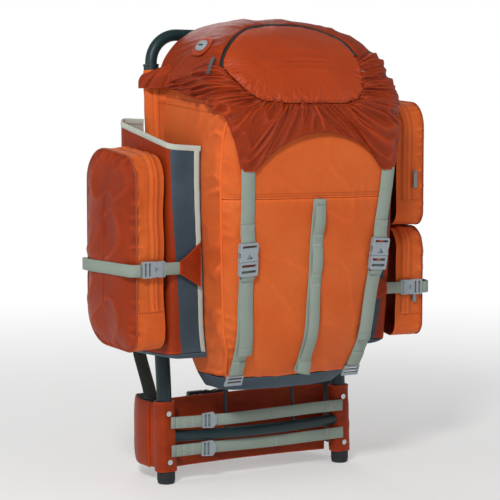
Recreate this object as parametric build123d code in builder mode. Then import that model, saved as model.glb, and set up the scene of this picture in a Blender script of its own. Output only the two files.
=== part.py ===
from build123d import *
import os
from math import atan2, cos, hypot, sin

os.makedirs("parts", exist_ok=True)

# An external-frame hiking pack: an aluminium tube frame, a top-loading bag pinned to it,
# side pockets over wand sleeves, a fold-back lid, a hip belt and a shoulder harness.
# Millimetres, +Z up. -Y is the load side, +Y the wearer's side, -X the wearer's left.
# The origin is on the ground, midway between the two feet.

# Tube frame
tube_spacing = 350  # between the side tubes' centre lines
tube_outer = 25.4
tube_wall = 1.5
tube_bend = 600
tube_route = [(-18, 12), (-10, 170), (16, 400), (32, 704)]  # (y, z) of a side tube, foot to top
hoop_outer = 20
hoop_wall = 1.5
hoop_top = 767
hoop_corner = 50
hoop_insert = 60  # how far each hoop leg reaches down into its side tube
bar_outer = 19
bar_wall = 1.4
rail_outer = 5.5
rail_x = 67
bars = {"lower": (79, 24), "lumbar": (300, 9), "shoulder": (510, 22), "top": (692, 10)}  # height, bow
foot_height = 22
foot_wall = 2

# Clevis pins through the side tubes, front to back
pin_radius = 2.4
pin_clearance = 0.08
belt_pins = [38, 120]
bag_pins = [250, 450, 669]

# Sewn bag
cloth = 2.4  # a lined and padded bag wall
bag_sections = [  # height, half width, front at the middle, how far the front's ends fall back
    (165, 112, -126, 20),
    (185, 124, -150, 24),
    (240, 141, -186, 27),
    (325, 151, -205, 25),
    (405, 158, -214, 18),
    (520, 167, -227, 12),
    (600, 169, -229, 12),
    (645, 165, -218, 14),
    (672, 161, -206, 16),
]
bag_front_corner = 42
bag_rear_corner = 12
bag_rear_gap = 16.5  # from a side tube's centre line forward to the bag's rear corner
bag_rear_hollow = 20  # how far the back panel curves forward between the tubes
bottom_seam = 190
front_seam = 487

# Lid
lid_sections = [  # height, half width, front at the middle, how far its ends fall back, corner
    (525, 173, -233, 12, 42),
    (600, 175, -236, 12, 42),
    (640, 175, -227, 14, 44),
    (685, 172, -213, 16, 48),
    (725, 155, -190, 18, 50),
    (755, 122, -155, 18, 45),
    (772, 85, -120, 14, 35),
    (779, 55, -95, 10, 25),
]
lid_rear = 11
lid_tip = 531  # lowest point of the front flap, where a strap is sewn in
lid_arch = 592  # top of the arch between the two tips
lid_dome_seam = 642
lid_floor = 692
lid_floor_rear = -5

# Webbing and buckles
webbing = 1.8
strap_width = 25
small_width = 20
belt_width = 38
front_strap_heights = (194, 531)
front_strap_xs = (114, 133)  # a front strap's distance from the middle, at those two heights

half = tube_spacing / 2
tube_radius = tube_outer / 2
sides = (("left", -1), ("right", 1))


def level(table, z, column):
    """Value of one column of a table of heights, straight between its rows."""
    for low, high in zip(table, table[1:]):
        if z <= high[0] or high is table[-1]:
            share = (z - low[0]) / (high[0] - low[0])
            return low[column] + share * (high[column] - low[column])


def tube_y(z):
    return level([(high, y) for y, high in tube_route], z, 1)


def strap_x(z):
    low, high = front_strap_heights
    near, far = front_strap_xs
    return near + (z - low) / (high - low) * (far - near)


def upright(y, z, y_top, z_top):
    """A plane along X through two (y, z) points, facing the load side."""
    return Plane(origin=(0, y, z), x_dir=(1, 0, 0), z_dir=(0, z - z_top, y_top - y))


def strap_plane(origin, up, outward):
    """Local +Z along a strap, local -Y away from what it lies on."""
    return Plane(origin=origin, x_dir=Vector(*outward).cross(Vector(*up)) * -1, z_dir=up)


def tube_core(x, radius):
    """All that a side tube fills, out to a radius, for cutting what meets it."""
    with BuildPart() as core:
        with BuildLine(Plane.YZ.offset(x)) as route:
            FilletPolyline(*tube_route, radius=tube_bend)
        start = route.wire()
        with BuildSketch(Plane(origin=start @ 0, z_dir=start % 0)):
            Circle(radius)
        sweep()
    return core.part


tube_cores = {side: tube_core(s * half, tube_radius) for side, s in sides}

# Side tubes: one bent tube each, drilled through for the clevis pins
for side, s in sides:
    with BuildPart() as side_tube:
        add(tube_cores[side])
        add(tube_core(s * half, tube_radius - tube_wall), mode=Mode.SUBTRACT)
        with BuildSketch(Plane.XZ.offset(60)):
            with Locations([(s * half, z) for z in belt_pins + bag_pins]):
                Circle(pin_radius + pin_clearance)
        extrude(amount=-140, mode=Mode.SUBTRACT)
    side_tube.part.label = f"side_tube_{side}"
    export_step(side_tube.part, f"parts/side_tube_{side}.step")

# Top hoop: one tube whose legs slide down inside the side tubes
last, top = tube_route[-2:]
lean = atan2(top[0] - last[0], top[1] - last[1])
hoop_plane = Plane(origin=(0, *top), x_dir=(1, 0, 0), z_dir=(0, -cos(lean), sin(lean)))
hoop_rise = (hoop_top - hoop_outer / 2 - top[1]) / cos(lean)
hoop_corners = [(-half, -hoop_insert), (-half, hoop_rise), (half, hoop_rise), (half, -hoop_insert)]
with BuildPart() as top_hoop:
    with BuildLine(hoop_plane) as route:
        FilletPolyline(*hoop_corners, radius=hoop_corner)
    start = route.wire()
    with BuildSketch(Plane(origin=start @ 0, z_dir=start % 0)):
        Circle(hoop_outer / 2)
        Circle(hoop_outer / 2 - hoop_wall, mode=Mode.SUBTRACT)
    sweep()
    with BuildSketch(Plane.XZ.offset(60)):
        with Locations((-half, bag_pins[-1]), (half, bag_pins[-1])):
            Circle(pin_radius + pin_clearance)
    extrude(amount=-140, mode=Mode.SUBTRACT)
top_hoop.part.label = "top_hoop"
export_step(top_hoop.part, "parts/top_hoop.step")

# Tube reducers: plastic collars that fill the step from the side tube to the hoop's leg
reducer_depth = 16
reducer_rim = 2.5
reducer_gap = 0.06
with BuildPart() as tube_reducers:
    with BuildSketch(Plane(origin=hoop_plane.origin, x_dir=(1, 0, 0), z_dir=hoop_plane.y_dir)):
        with Locations((-half, 0), (half, 0)):
            Circle(tube_radius + 0.8)
            Circle(hoop_outer / 2 + reducer_gap, mode=Mode.SUBTRACT)
    extrude(amount=reducer_rim)
    with BuildSketch(Plane(origin=hoop_plane.origin, x_dir=(1, 0, 0), z_dir=hoop_plane.y_dir)):
        with Locations((-half, 0), (half, 0)):
            Circle(tube_radius - tube_wall - reducer_gap)
            Circle(hoop_outer / 2 + reducer_gap, mode=Mode.SUBTRACT)
    extrude(amount=-reducer_depth)
tube_reducers.part.label = "tube_reducers"
export_step(tube_reducers.part, "parts/tube_reducers.step")


def cross_bar(name, inner):
    """One bowed cross bar's rod or bore, from tube centre to tube centre."""
    z, bow = bars[name]
    with BuildPart() as bar:
        with BuildLine(Plane.XY.offset(z)) as route:
            ThreePointArc((-half, tube_y(z)), (0, tube_y(z) - bow), (half, tube_y(z)))
        start = route.wire()
        with BuildSketch(Plane(origin=start @ 0, z_dir=start % 0)):
            Circle(bar_outer / 2 - inner)
        sweep()
    return bar.part


# Cross bars: bowed towards the load so that the wearer's back stays clear, coped to the tubes
with BuildPart() as cross_bar_lower:
    add(cross_bar("lower", 0))
    add(cross_bar("lower", bar_wall), mode=Mode.SUBTRACT)
    add(tube_cores.values(), mode=Mode.SUBTRACT)
cross_bar_lower.part.label = "cross_bar_lower"
export_step(cross_bar_lower.part, "parts/cross_bar_lower.step")

with BuildPart() as cross_bars_upper:
    for name in ("lumbar", "shoulder", "top"):
        add(cross_bar(name, 0))
    for name in ("lumbar", "shoulder", "top"):
        add(cross_bar(name, bar_wall), mode=Mode.SUBTRACT)
    add(tube_cores.values(), mode=Mode.SUBTRACT)
cross_bars_upper.part.label = "cross_bars_upper"
export_step(cross_bars_upper.part, "parts/cross_bars_upper.step")


def bar_y(name, x):
    z, bow = bars[name]
    return tube_y(z) - bow * (1 - (x / half) ** 2)


# Centre rails: two thin rods from the lower bar to the shoulder bar, in front of the lumbar bar
with BuildPart() as centre_rails:
    for x in (-rail_x, rail_x):
        foot = (x, bar_y("lower", rail_x), bars["lower"][0])
        head = (x, bar_y("shoulder", rail_x), bars["shoulder"][0])
        with BuildLine() as route:
            Line(foot, head)
        with BuildSketch(Plane(origin=foot, z_dir=route.wire() % 0)):
            Circle(rail_outer / 2)
        sweep()
    for name in ("lower", "lumbar", "shoulder"):
        add(cross_bar(name, 0), mode=Mode.SUBTRACT)
centre_rails.part.label = "centre_rails"
export_step(centre_rails.part, "parts/centre_rails.step")

# Foot caps: ribbed rubber cups pushed over the tube ends
foot_ribs = 20
rib_start = 6
with BuildPart() as foot_caps:
    for side, s in sides:
        with BuildSketch(Plane.XY):
            with Locations((s * half, tube_route[0][0])):
                Circle(tube_radius + foot_wall)
        extrude(amount=foot_height)
    chamfer(faces().filter_by(Axis.Z).group_by(Axis.Z)[0].edges(), length=2)
    for side, s in sides:
        with BuildSketch(Plane.XY.offset(rib_start)):
            with Locations((s * half, tube_route[0][0])):
                with PolarLocations(tube_radius + foot_wall, foot_ribs):
                    Circle(0.7)
        extrude(amount=foot_height - rib_start - 1)
    for side, s in sides:
        add(tube_cores[side], mode=Mode.SUBTRACT)
foot_caps.part.label = "foot_caps"
export_step(foot_caps.part, "parts/foot_caps.step")

# Clevis pins with flat heads in front and a cross hole behind for the split ring
pin_tail = 19.5
pin_head = 1.6
pin_seat = 15.4  # from the tube's centre line to the underside of the head
ring_radius = 6
ring_wire = 0.7
ring_hole = 1.35
ring_drop = ring_radius - 0.25
pin_places = [(s * half, z) for side, s in sides for z in belt_pins + bag_pins]
with BuildPart() as clevis_pins:
    for x, z in pin_places:
        seat = Plane(origin=(x, tube_y(z) - pin_seat, z), x_dir=(1, 0, 0), z_dir=(0, 1, 0))
        with BuildSketch(seat):
            Circle(pin_radius)
        extrude(amount=pin_seat + pin_tail)
        with BuildSketch(seat):
            Circle(pin_radius * 1.9)
        extrude(amount=-pin_head)
        with BuildSketch(Plane.YZ.offset(x)):
            with Locations((tube_y(z) + pin_tail - 2, z)):
                Circle(ring_hole)
        extrude(amount=4, both=True, mode=Mode.SUBTRACT)
clevis_pins.part.label = "clevis_pins"
export_step(clevis_pins.part, "parts/clevis_pins.step")

with BuildPart() as split_rings:
    for x, z in pin_places:
        hang = Plane(origin=(x, tube_y(z) + pin_tail - 2, z - ring_drop), z_dir=(0, 1, 0))
        with Locations(hang.location):
            Torus(ring_radius, ring_wire)
split_rings.part.label = "split_rings"
export_step(split_rings.part, "parts/split_rings.step")


def pin_holes(x, heights):
    """Holes through cloth for the clevis pins, to be cut away."""
    with BuildPart() as holes:
        for z in heights:
            with BuildSketch(Plane.XZ.offset(60)):
                with Locations((x, z)):
                    Circle(pin_radius + 0.3)
            extrude(amount=-140)
    return holes.part


def bag_solid(inset, floor, rim):
    """The bag as one closed loft, shrunk by an inset, from a floor height to a rim height."""
    heights = [floor] + [row[0] for row in bag_sections[1:-1]] + [rim]
    with BuildPart() as body:
        for z in heights:
            wide = level(bag_sections, z, 1) - inset
            front = level(bag_sections, z, 2) + inset
            fall = level(bag_sections, z, 3)
            rear = tube_y(z) - bag_rear_gap - inset
            with BuildSketch(Plane.XY.offset(z)) as section:
                with BuildLine():
                    ThreePointArc((-wide, front + fall), (0, front), (wide, front + fall))
                    Line((wide, front + fall), (wide, rear))
                    ThreePointArc((wide, rear), (0, rear - bag_rear_hollow), (-wide, rear))
                    Line((-wide, rear), (-wide, front + fall))
                make_face()
                corners = section.vertices().group_by(Axis.Y)
                fillet(corners[0], radius=bag_front_corner - inset)
                fillet(corners[-1], radius=bag_rear_corner - inset)
        loft()
    return body.part


bag_floor = bag_sections[0][0]
bag_rim = bag_sections[-1][0]
side_seam = upright(-152, 224, -197, 560)
back_seam_xs = (106, 146)  # the back seams' distance from the middle, at the floor and at the rim
back_seams = {
    side: Plane(
        origin=(s * back_seam_xs[0], 0, bag_floor),
        x_dir=(0, 1, 0),
        z_dir=(s * (bag_rim - bag_floor), 0, back_seam_xs[0] - back_seam_xs[1]),
    )
    for side, s in sides
}

bag_body = bag_solid(0, bag_floor, bag_rim)


def front_y(z, x):
    """The bag's front at a height, a given distance to the side of the middle."""
    hits = bag_body.find_intersection_points(Axis((x, -400, z), (0, 1, 0)))
    return min(point.Y for point, normal in hits)


with BuildPart() as bag_shell:
    add(bag_body)
    add(bag_solid(cloth, bag_floor + cloth, bag_rim + 1), mode=Mode.SUBTRACT)

# Bag panels, cut from the shell along their seams
with BuildPart() as bottom_panel:
    add(bag_shell.part)
    split(bisect_by=Plane.XY.offset(bottom_seam), keep=Keep.BOTTOM)
bottom_panel.part.label = "bottom_panel"
export_step(bottom_panel.part, "parts/bottom_panel.step")

with BuildPart() as front_panel_lower:
    add(bag_shell.part)
    split(bisect_by=Plane.XY.offset(bottom_seam), keep=Keep.TOP)
    split(bisect_by=side_seam, keep=Keep.TOP)
    split(bisect_by=Plane.XY.offset(front_seam), keep=Keep.BOTTOM)
front_panel_lower.part.label = "front_panel_lower"
export_step(front_panel_lower.part, "parts/front_panel_lower.step")

with BuildPart() as front_panel_upper:
    add(bag_shell.part)
    split(bisect_by=Plane.XY.offset(front_seam), keep=Keep.TOP)
    split(bisect_by=side_seam, keep=Keep.TOP)
front_panel_upper.part.label = "front_panel_upper"
export_step(front_panel_upper.part, "parts/front_panel_upper.step")

with BuildPart() as back_panel:
    add(bag_shell.part)
    split(bisect_by=Plane.XY.offset(bottom_seam), keep=Keep.TOP)
    split(bisect_by=side_seam, keep=Keep.BOTTOM)
    split(bisect_by=back_seams["left"], keep=Keep.BOTTOM)
    split(bisect_by=back_seams["right"], keep=Keep.BOTTOM)
back_panel.part.label = "back_panel"
export_step(back_panel.part, "parts/back_panel.step")

for side, s in sides:
    with BuildPart() as side_panel:
        add(bag_shell.part)
        split(bisect_by=Plane.XY.offset(bottom_seam), keep=Keep.TOP)
        split(bisect_by=side_seam, keep=Keep.BOTTOM)
        split(bisect_by=back_seams[side], keep=Keep.TOP)
    side_panel.part.label = f"side_panel_{side}"
    export_step(side_panel.part, f"parts/side_panel_{side}.step")

# Frame flanges: the bag's rear edges, wrapped round the outside of the side tubes and pinned
flange_inner = tube_radius + 0.3
flange_outer = flange_inner + 1.6
flange_span = (232, 697)
with BuildPart() as frame_flanges:
    for side, s in sides:
        add(tube_core(s * half, flange_outer))
    for side, s in sides:
        add(tube_core(s * half, flange_inner), mode=Mode.SUBTRACT)
    split(bisect_by=Plane.XY.offset(flange_span[0]), keep=Keep.TOP)
    split(bisect_by=Plane.XY.offset(flange_span[1]), keep=Keep.BOTTOM)
    with BuildSketch(Plane.XY.offset(flange_span[0])):
        Rectangle(tube_spacing - 8, 200)
    extrude(amount=500, mode=Mode.SUBTRACT)
    for side, s in sides:
        add(pin_holes(s * half, bag_pins), mode=Mode.SUBTRACT)
frame_flanges.part.label = "frame_flanges"
export_step(frame_flanges.part, "parts/frame_flanges.step")

# Lid back drop: the cloth that rises behind the opening to the hoop, where the lid folds
drop_foot = (-6, bag_rim + 1)
drop_head = (12.5, 761)
drop_plane = upright(*drop_foot, *drop_head)
drop_rise = hypot(drop_head[0] - drop_foot[0], drop_head[1] - drop_foot[1])
with BuildPart() as lid_back_drop:
    with BuildSketch(Plane(origin=drop_plane.origin, x_dir=(1, 0, 0), z_dir=drop_plane.z_dir)):
        with BuildLine():
            Polyline((-158, 0), (158, 0), (92, drop_rise), (-92, drop_rise), close=True)
        make_face()
        fillet(vertices().group_by(Axis.Y)[-1], radius=20)
    extrude(amount=1.5)
lid_back_drop.part.label = "lid_back_drop"
export_step(lid_back_drop.part, "parts/lid_back_drop.step")


def sleeve_solid(s, inset):
    """A wand sleeve as one loft that reaches into the bag and the side tube."""
    low = [(-130, -98), (-212, -108), (-233, 10), (-220, 24), (-175, 4), (-130, -40)]
    high = [(-150, -152), (-222, -126), (-240, 18), (-226, 40), (-175, 34), (-150, 0)]
    with BuildPart() as body:
        for z, outline in ((232 + inset, low), (640 + inset, high)):
            with BuildSketch(Plane.XY.offset(z)) as section:
                with BuildLine():
                    Polyline(*[(-s * x, y) for x, y in outline], close=True)
                make_face()
                if inset:
                    offset(amount=-inset)
                fillet(section.vertices().filter_by(lambda v: abs(v.X) > 200), radius=12 - inset)
        loft(ruled=True)
    return body.part


# Wand sleeves: open-topped pockets between the bag's sides and the side pockets
sleeve_wall = 2
sleeve_rims = {"left": (567, 613), "right": (600, 628)}  # rim height at the front and at the rear
for side, s in sides:
    front_rim, rear_rim = sleeve_rims[side]
    with BuildPart() as wand_sleeve:
        add(sleeve_solid(s, 0))
        add(sleeve_solid(s, sleeve_wall), mode=Mode.SUBTRACT)
        add(bag_solid(-0.4, bag_floor, bag_rim), mode=Mode.SUBTRACT)
        add(tube_core(s * half, flange_outer + 0.3), mode=Mode.SUBTRACT)
        with BuildSketch(Plane.XY.offset(200)):
            with Locations((0, 30)):
                Rectangle(tube_spacing - 6, 100)
        extrude(amount=500, mode=Mode.SUBTRACT)
        rim = Plane(origin=(0, -150, front_rim), x_dir=(1, 0, 0), z_dir=(0, front_rim - rear_rim, 180))
        split(bisect_by=rim, keep=Keep.BOTTOM)
    wand_sleeve.part.label = f"wand_sleeve_{side}"
    export_step(wand_sleeve.part, f"parts/wand_sleeve_{side}.step")


def pocket_plane(s, z=0, away=0):
    """Along a sleeve's outer wall: local X runs rearwards (times s), local Z away from the bag."""
    out = Vector(s * 148, -17, 0).normalized()
    return Plane(origin=Vector(s * 226, -116, z) + out * away, x_dir=(17, s * 148, 0), z_dir=out)


def pocket_outline(s, corners, inset):
    """Side view of a pocket: (distance behind the front edge, height, corner radius)."""
    with BuildSketch(Plane.XY) as outline:
        with BuildLine():
            Polyline(*[(s * u, z) for u, z, r in corners], close=True)
        make_face()
        for u, z, r in corners:
            fillet(outline.vertices().sort_by_distance((s * u, z))[0], radius=r)
        if inset:
            offset(amount=-inset)
    return outline.sketch


# Side pockets: a deep gusset band with a crowned face panel sewn round its outer edge
pocket_wall = 2.5
gusset_depth = 52
face_rings = [(0.3, 0), (8, 10), (14, 32)]  # beyond the gusset, inset
pockets = {
    "pocket_left": (-1, [(0, 240, 18), (150, 250, 50), (150, 575, 32), (0, 552, 40)]),
    "pocket_right_upper": (1, [(0, 430, 18), (150, 432, 30), (150, 652, 38), (0, 641, 40)]),
    "pocket_right_lower": (1, [(0, 234, 18), (150, 242, 50), (150, 427, 32), (0, 425, 36)]),
}
for name, (s, corners) in pockets.items():
    with BuildPart() as gusset:
        with BuildSketch(pocket_plane(s, away=0.4)):
            add(pocket_outline(s, corners, 0))
            add(pocket_outline(s, corners, pocket_wall), mode=Mode.SUBTRACT)
        extrude(amount=gusset_depth)
    gusset.part.label = f"{name}_gusset"
    export_step(gusset.part, f"parts/{name}_gusset.step")

    with BuildPart() as face:
        for mode, sink in ((Mode.ADD, 0), (Mode.SUBTRACT, pocket_wall)):
            for rise, inset in face_rings:
                with BuildSketch(pocket_plane(s, away=gusset_depth + 0.4 + rise - sink)):
                    add(pocket_outline(s, corners, inset))
            loft(mode=mode)
        with BuildSketch(pocket_plane(s, away=gusset_depth + 0.4 + 0.3)):
            add(pocket_outline(s, corners, -5))
        extrude(amount=-20, mode=Mode.SUBTRACT)
    face.part.label = f"{name}_face"
    export_step(face.part, f"parts/{name}_face.step")


def lid_solid(inset, rear, drop):
    """The lid as one closed loft, shrunk by an inset, with its crown lowered."""
    with BuildPart() as body:
        for z, wide, front, fall, corner in lid_sections:
            low = lid_sections[0][0]
            height = z - drop * (z - low) / (lid_sections[-1][0] - low)
            w = wide - inset
            f = front + inset
            with BuildSketch(Plane.XY.offset(height)) as section:
                with BuildLine():
                    ThreePointArc((-w, f + fall), (0, f), (w, f + fall))
                    Polyline((w, f + fall), (w, rear), (-w, rear), (-w, f + fall))
                make_face()
                fillet(section.vertices().group_by(Axis.Y)[0], radius=corner - inset)
        loft()
    return body.part


# Lid shell: open below and behind, with a side hem that rises to the rear and an arched front
with BuildPart() as lid_shell:
    add(lid_solid(0, lid_rear, 0))
    add(lid_solid(cloth, lid_rear + 20, cloth), mode=Mode.SUBTRACT)
    with BuildSketch(Plane.YZ):
        with BuildLine():
            Polyline((-178, 400), (-178, 628), (-160, 640), (40, 676), (40, 400), close=True)
        make_face()
    extrude(amount=300, both=True, mode=Mode.SUBTRACT)
    with BuildSketch(Plane.XZ.offset(100)):
        with BuildLine():
            ThreePointArc((-121, lid_tip), (0, lid_arch), (121, lid_tip))
            Polyline((121, lid_tip), (121, 400), (-121, 400), (-121, lid_tip))
        make_face()
        with BuildLine():
            Polyline((-147, 400), (-147, lid_tip), (-170, 625), (-220, 640), (-220, 400), close=True)
        make_face()
        with BuildLine():
            Polyline((147, 400), (147, lid_tip), (170, 625), (220, 640), (220, 400), close=True)
        make_face()
        with Locations((0, 465)):
            Rectangle(440, 2 * (lid_tip - 465))
    extrude(amount=200, mode=Mode.SUBTRACT)


with BuildPart() as dome_space:
    with BuildSketch(Plane.XZ) as dome_outline:
        with BuildLine():
            Polyline((-118, lid_dome_seam), (118, lid_dome_seam), (104, 800), (-104, 800), close=True)
        make_face()
        fillet(dome_outline.vertices().group_by(Axis.Y)[0], radius=30)
    extrude(amount=300, both=True)

with BuildPart() as lid_pocket_cover:
    add(lid_shell.part)
    add(dome_space.part, mode=Mode.INTERSECT)
lid_pocket_cover.part.label = "lid_pocket_cover"
export_step(lid_pocket_cover.part, "parts/lid_pocket_cover.step")

with BuildPart() as lid_skirt:
    add(lid_shell.part)
    add(dome_space.part, mode=Mode.SUBTRACT)
lid_skirt.part.label = "lid_skirt"
export_step(lid_skirt.part, "parts/lid_skirt.step")

# Lid pocket floor: the sheet that closes the lid's pocket from below
with BuildPart() as lid_pocket_floor:
    add(lid_solid(cloth + 0.4, lid_floor_rear, cloth))
    with Locations((0, 0, lid_floor + 1)):
        Box(500, 800, 2, mode=Mode.INTERSECT)
lid_pocket_floor.part.label = "lid_pocket_floor"
export_step(lid_pocket_floor.part, "parts/lid_pocket_floor.step")


def ribbon(plane, points, width, thickness=webbing):
    """Webbing whose middle follows a curve through the points."""
    with BuildPart() as strip:
        with BuildSketch(plane):
            with BuildLine():
                Spline(*points)
            trace(line_width=thickness)
        extrude(amount=width / 2, both=True)
    return strip.part


def ladder_lock(width, nose=0):
    """Ladder-lock: a plate with two slots and, on some, a pointed lifting tab."""
    with BuildPart() as lock:
        with BuildSketch(Plane.XZ):
            with BuildLine():
                Polyline(
                    (-width / 2 - 3.5, -10),
                    (-width / 4, -10 - nose),
                    (width / 4, -10 - nose),
                    (width / 2 + 3.5, -10),
                    (width / 2 + 2, 10),
                    (-width / 2 - 2, 10),
                    close=True,
                )
            make_face()
            with Locations((0, 4.2), (0, -2.6)):
                Rectangle(width + 0.8, 3.6, mode=Mode.SUBTRACT)
        extrude(amount=2, both=True)
        chamfer(edges().filter_by(Axis.X).group_by(Axis.Y)[0], length=0.7)
    return lock.part


def buckle_female(width):
    """Side-release buckle's socket. Its mouth is at local z 0 and its webbing bar above."""
    k = width / 25
    with BuildPart() as socket:
        with BuildSketch(Plane.XZ):
            with BuildLine():
                Polyline(
                    (-16.5 * k, 0),
                    (-16.5 * k, 4 * k),
                    (-15 * k, 9 * k),
                    (-16.5 * k, 16 * k),
                    (-16 * k, 28 * k),
                    (-14 * k, 30 * k),
                    (0, 30 * k),
                )
                mirror(about=Plane.YZ)
                Line((-16.5 * k, 0), (16.5 * k, 0))
            make_face()
            with Locations((0, 24.5 * k)):
                Rectangle(25.8 * k, 4 * k, mode=Mode.SUBTRACT)
        extrude(amount=4.5 * k, both=True)
        chamfer(faces().filter_by(Axis.Y).group_by(Axis.Y)[0].face().outer_wire().edges(), length=0.9 * k)
        with BuildSketch(Plane.XY):
            Rectangle(26 * k, 5.8 * k)
        extrude(amount=19 * k, mode=Mode.SUBTRACT)
        with BuildSketch(Plane.YZ):
            with Locations((0, 10 * k)):
                Rectangle(5.8 * k, 9.5 * k)
        extrude(amount=20 * k, both=True, mode=Mode.SUBTRACT)
        with BuildSketch(Plane.XZ):
            with BuildLine():
                Polyline((-5 * k, 4.5 * k), (5 * k, 4.5 * k), (0, 13 * k), close=True)
            make_face()
        extrude(amount=10 * k, mode=Mode.SUBTRACT)
    return socket.part


def buckle_male(width):
    """The half with two prongs and a guide tongue, over a ladder of two webbing slots."""
    k = width / 25
    with BuildPart() as prongs:
        with BuildSketch(Plane.XZ):
            with Locations((0, -12.2 * k)):
                RectangleRounded(33 * k, 23.6 * k, 2.5 * k)
            with Locations((0, -7 * k), (0, -16.5 * k)):
                Rectangle(25.8 * k, 4.4 * k, mode=Mode.SUBTRACT)
        extrude(amount=3.4 * k, both=True)
        with BuildSketch(Plane.XZ):
            with BuildLine():
                Polyline(
                    (-9 * k, -1.5 * k),
                    (-9 * k, 16.5 * k),
                    (-10.5 * k, 16.5 * k),
                    (-12.6 * k, 13 * k),
                    (-12.6 * k, 6.5 * k),
                    (-11 * k, 5.5 * k),
                    (-11 * k, -1.5 * k),
                    close=True,
                )
            make_face()
            mirror(about=Plane.YZ)
            with Locations((0, 5.5 * k)):
                Rectangle(5 * k, 14 * k)
        extrude(amount=2.4 * k, both=True)
    return prongs.part


def seat(piece, plane):
    """A piece made at the origin, set down on a plane."""
    return plane.location * piece


socket_25 = buckle_female(strap_width)
prongs_25 = buckle_male(strap_width)
socket_20 = buckle_female(small_width)
prongs_20 = buckle_male(small_width)
lock_25 = ladder_lock(strap_width)
lock_20 = ladder_lock(small_width, nose=7)

# Front straps: the lower run of webbing is sewn to the bag's foot, the upper run to the lid's tips
front_mouth = 390  # height of the closed buckle's mouth
buckle_lift = 7.6  # from the bag to the buckle's mid plane
low, high = front_strap_heights
near, far = front_strap_xs
strap_rise = hypot(far - near, high - low)


def strap_sheet(s):
    """The plane a front strap's centre line lies in: local X to the rear, local Y up the strap."""
    return Plane(origin=(s * near, 0, low), x_dir=(0, 1, 0), z_dir=(high - low, 0, s * (near - far)))


def strap_points(heights, gap):
    """Points down a front strap, clear of the bag by a gap at the strap's inner edge."""
    inner = strap_width / 2
    return [(front_y(z, strap_x(z) - inner) - gap, (z - low) * strap_rise / (high - low)) for z in heights]


strap_lean = (strap_points([405], 0)[0][0] - strap_points([325], 0)[0][0]) / 80
for side, s in sides:
    up = Vector(s * (far - near) / (high - low), strap_lean, 1).normalized()
    outward = Vector(0, -1, strap_lean).normalized()
    surface = Vector(s * strap_x(front_mouth), strap_points([front_mouth], 0)[0][0], front_mouth)
    buckle_plane = strap_plane(surface + outward * buckle_lift, up, outward)

    lower_heights = [202, 222, 240, 260, 280, 300, 325, 350, 374]
    front_strap = ribbon(strap_sheet(s), strap_points(lower_heights, 2), strap_width)
    front_strap.label = f"front_strap_{side}"
    export_step(front_strap, f"parts/front_strap_{side}.step")

    lid_strap = ribbon(strap_sheet(s), strap_points([front_mouth + 25, 450, 480, 529], 2), strap_width)
    lid_strap.label = f"lid_strap_{side}"
    export_step(lid_strap, f"parts/lid_strap_{side}.step")

    female = seat(socket_25, buckle_plane)
    female.label = f"front_buckle_female_{side}"
    export_step(female, f"parts/front_buckle_female_{side}.step")

    male = seat(prongs_25, buckle_plane)
    male.label = f"front_buckle_male_{side}"
    export_step(male, f"parts/front_buckle_male_{side}.step")
    print("front buckle", side, "slides along", -up, "strap tip", strap_points([529], 3))

# Daisy chain: a strip down the middle with a second strip tacked over it in loops
chain_gap = 2  # from the bag to the middle of the backing strip
chain_width = 20
chain_tacks = [474, 427, 410, 362, 346, 205]
chain_lift = 3.4  # how far a loop stands off the backing strip
chain_sheet = Plane(origin=(0, 0, 0), x_dir=(0, 1, 0), z_dir=(1, 0, 0))
chain_heights = [190, 205, 240, 260, 280, 300, 325, 365, 405, 486]
with BuildPart() as daisy_chain:
    backing = [(front_y(z, 0) - chain_gap, z) for z in chain_heights]
    add(ribbon(chain_sheet, backing, chain_width + 5))
    for upper, lower in zip(chain_tacks, chain_tacks[1:]):
        if upper - lower > 20:
            run = [lower + (upper - lower) * share / 4 for share in range(5)]
            lift = [0, chain_lift, chain_lift, chain_lift, 0]
            loop = [(front_y(z, 0) - chain_gap - webbing + 0.1 - d, z) for z, d in zip(run, lift)]
            add(ribbon(chain_sheet, loop, chain_width))
daisy_chain.part.label = "daisy_chain"
export_step(daisy_chain.part, "parts/daisy_chain.step")

# Pocket straps: webbing across a side pocket's face to a buckle on its front gusset
pocket_strap_z = {"left": 375, "right": 322}


def pocket_lane(side, s):
    """Plane across a side pocket at its strap: X rearward, Y outward, with the pocket's own axes."""
    rearward = pocket_plane(s).x_dir * s
    return Plane(origin=pocket_plane(s, pocket_strap_z[side]).origin, x_dir=rearward, z_dir=(0, 0, -s))


face_top = gusset_depth + face_rings[-1][0] + 5.5
with BuildPart() as pocket_straps:
    for side, s in sides:
        with BuildSketch(pocket_lane(side, s)):
            with BuildLine():
                FilletPolyline((156, 34), (156, 64), (122, face_top), (30, face_top), (0, 68.5), radius=6)
            trace(line_width=webbing)
        extrude(amount=small_width / 2, both=True)
pocket_straps.part.label = "pocket_straps"
export_step(pocket_straps.part, "parts/pocket_straps.step")

for side, s in sides:
    lane = pocket_lane(side, s)
    mouth = strap_plane(lane.origin - lane.x_dir * 7.6 + lane.y_dir * 29, -lane.y_dir, -lane.x_dir)
    female = seat(socket_20, mouth)
    female.label = f"pocket_buckle_female_{side}"
    export_step(female, f"parts/pocket_buckle_female_{side}.step")
    male = seat(prongs_20, mouth)
    male.label = f"pocket_buckle_male_{side}"
    export_step(male, f"parts/pocket_buckle_male_{side}.step")
    print("pocket buckle", side, "slides along", lane.y_dir)

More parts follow.
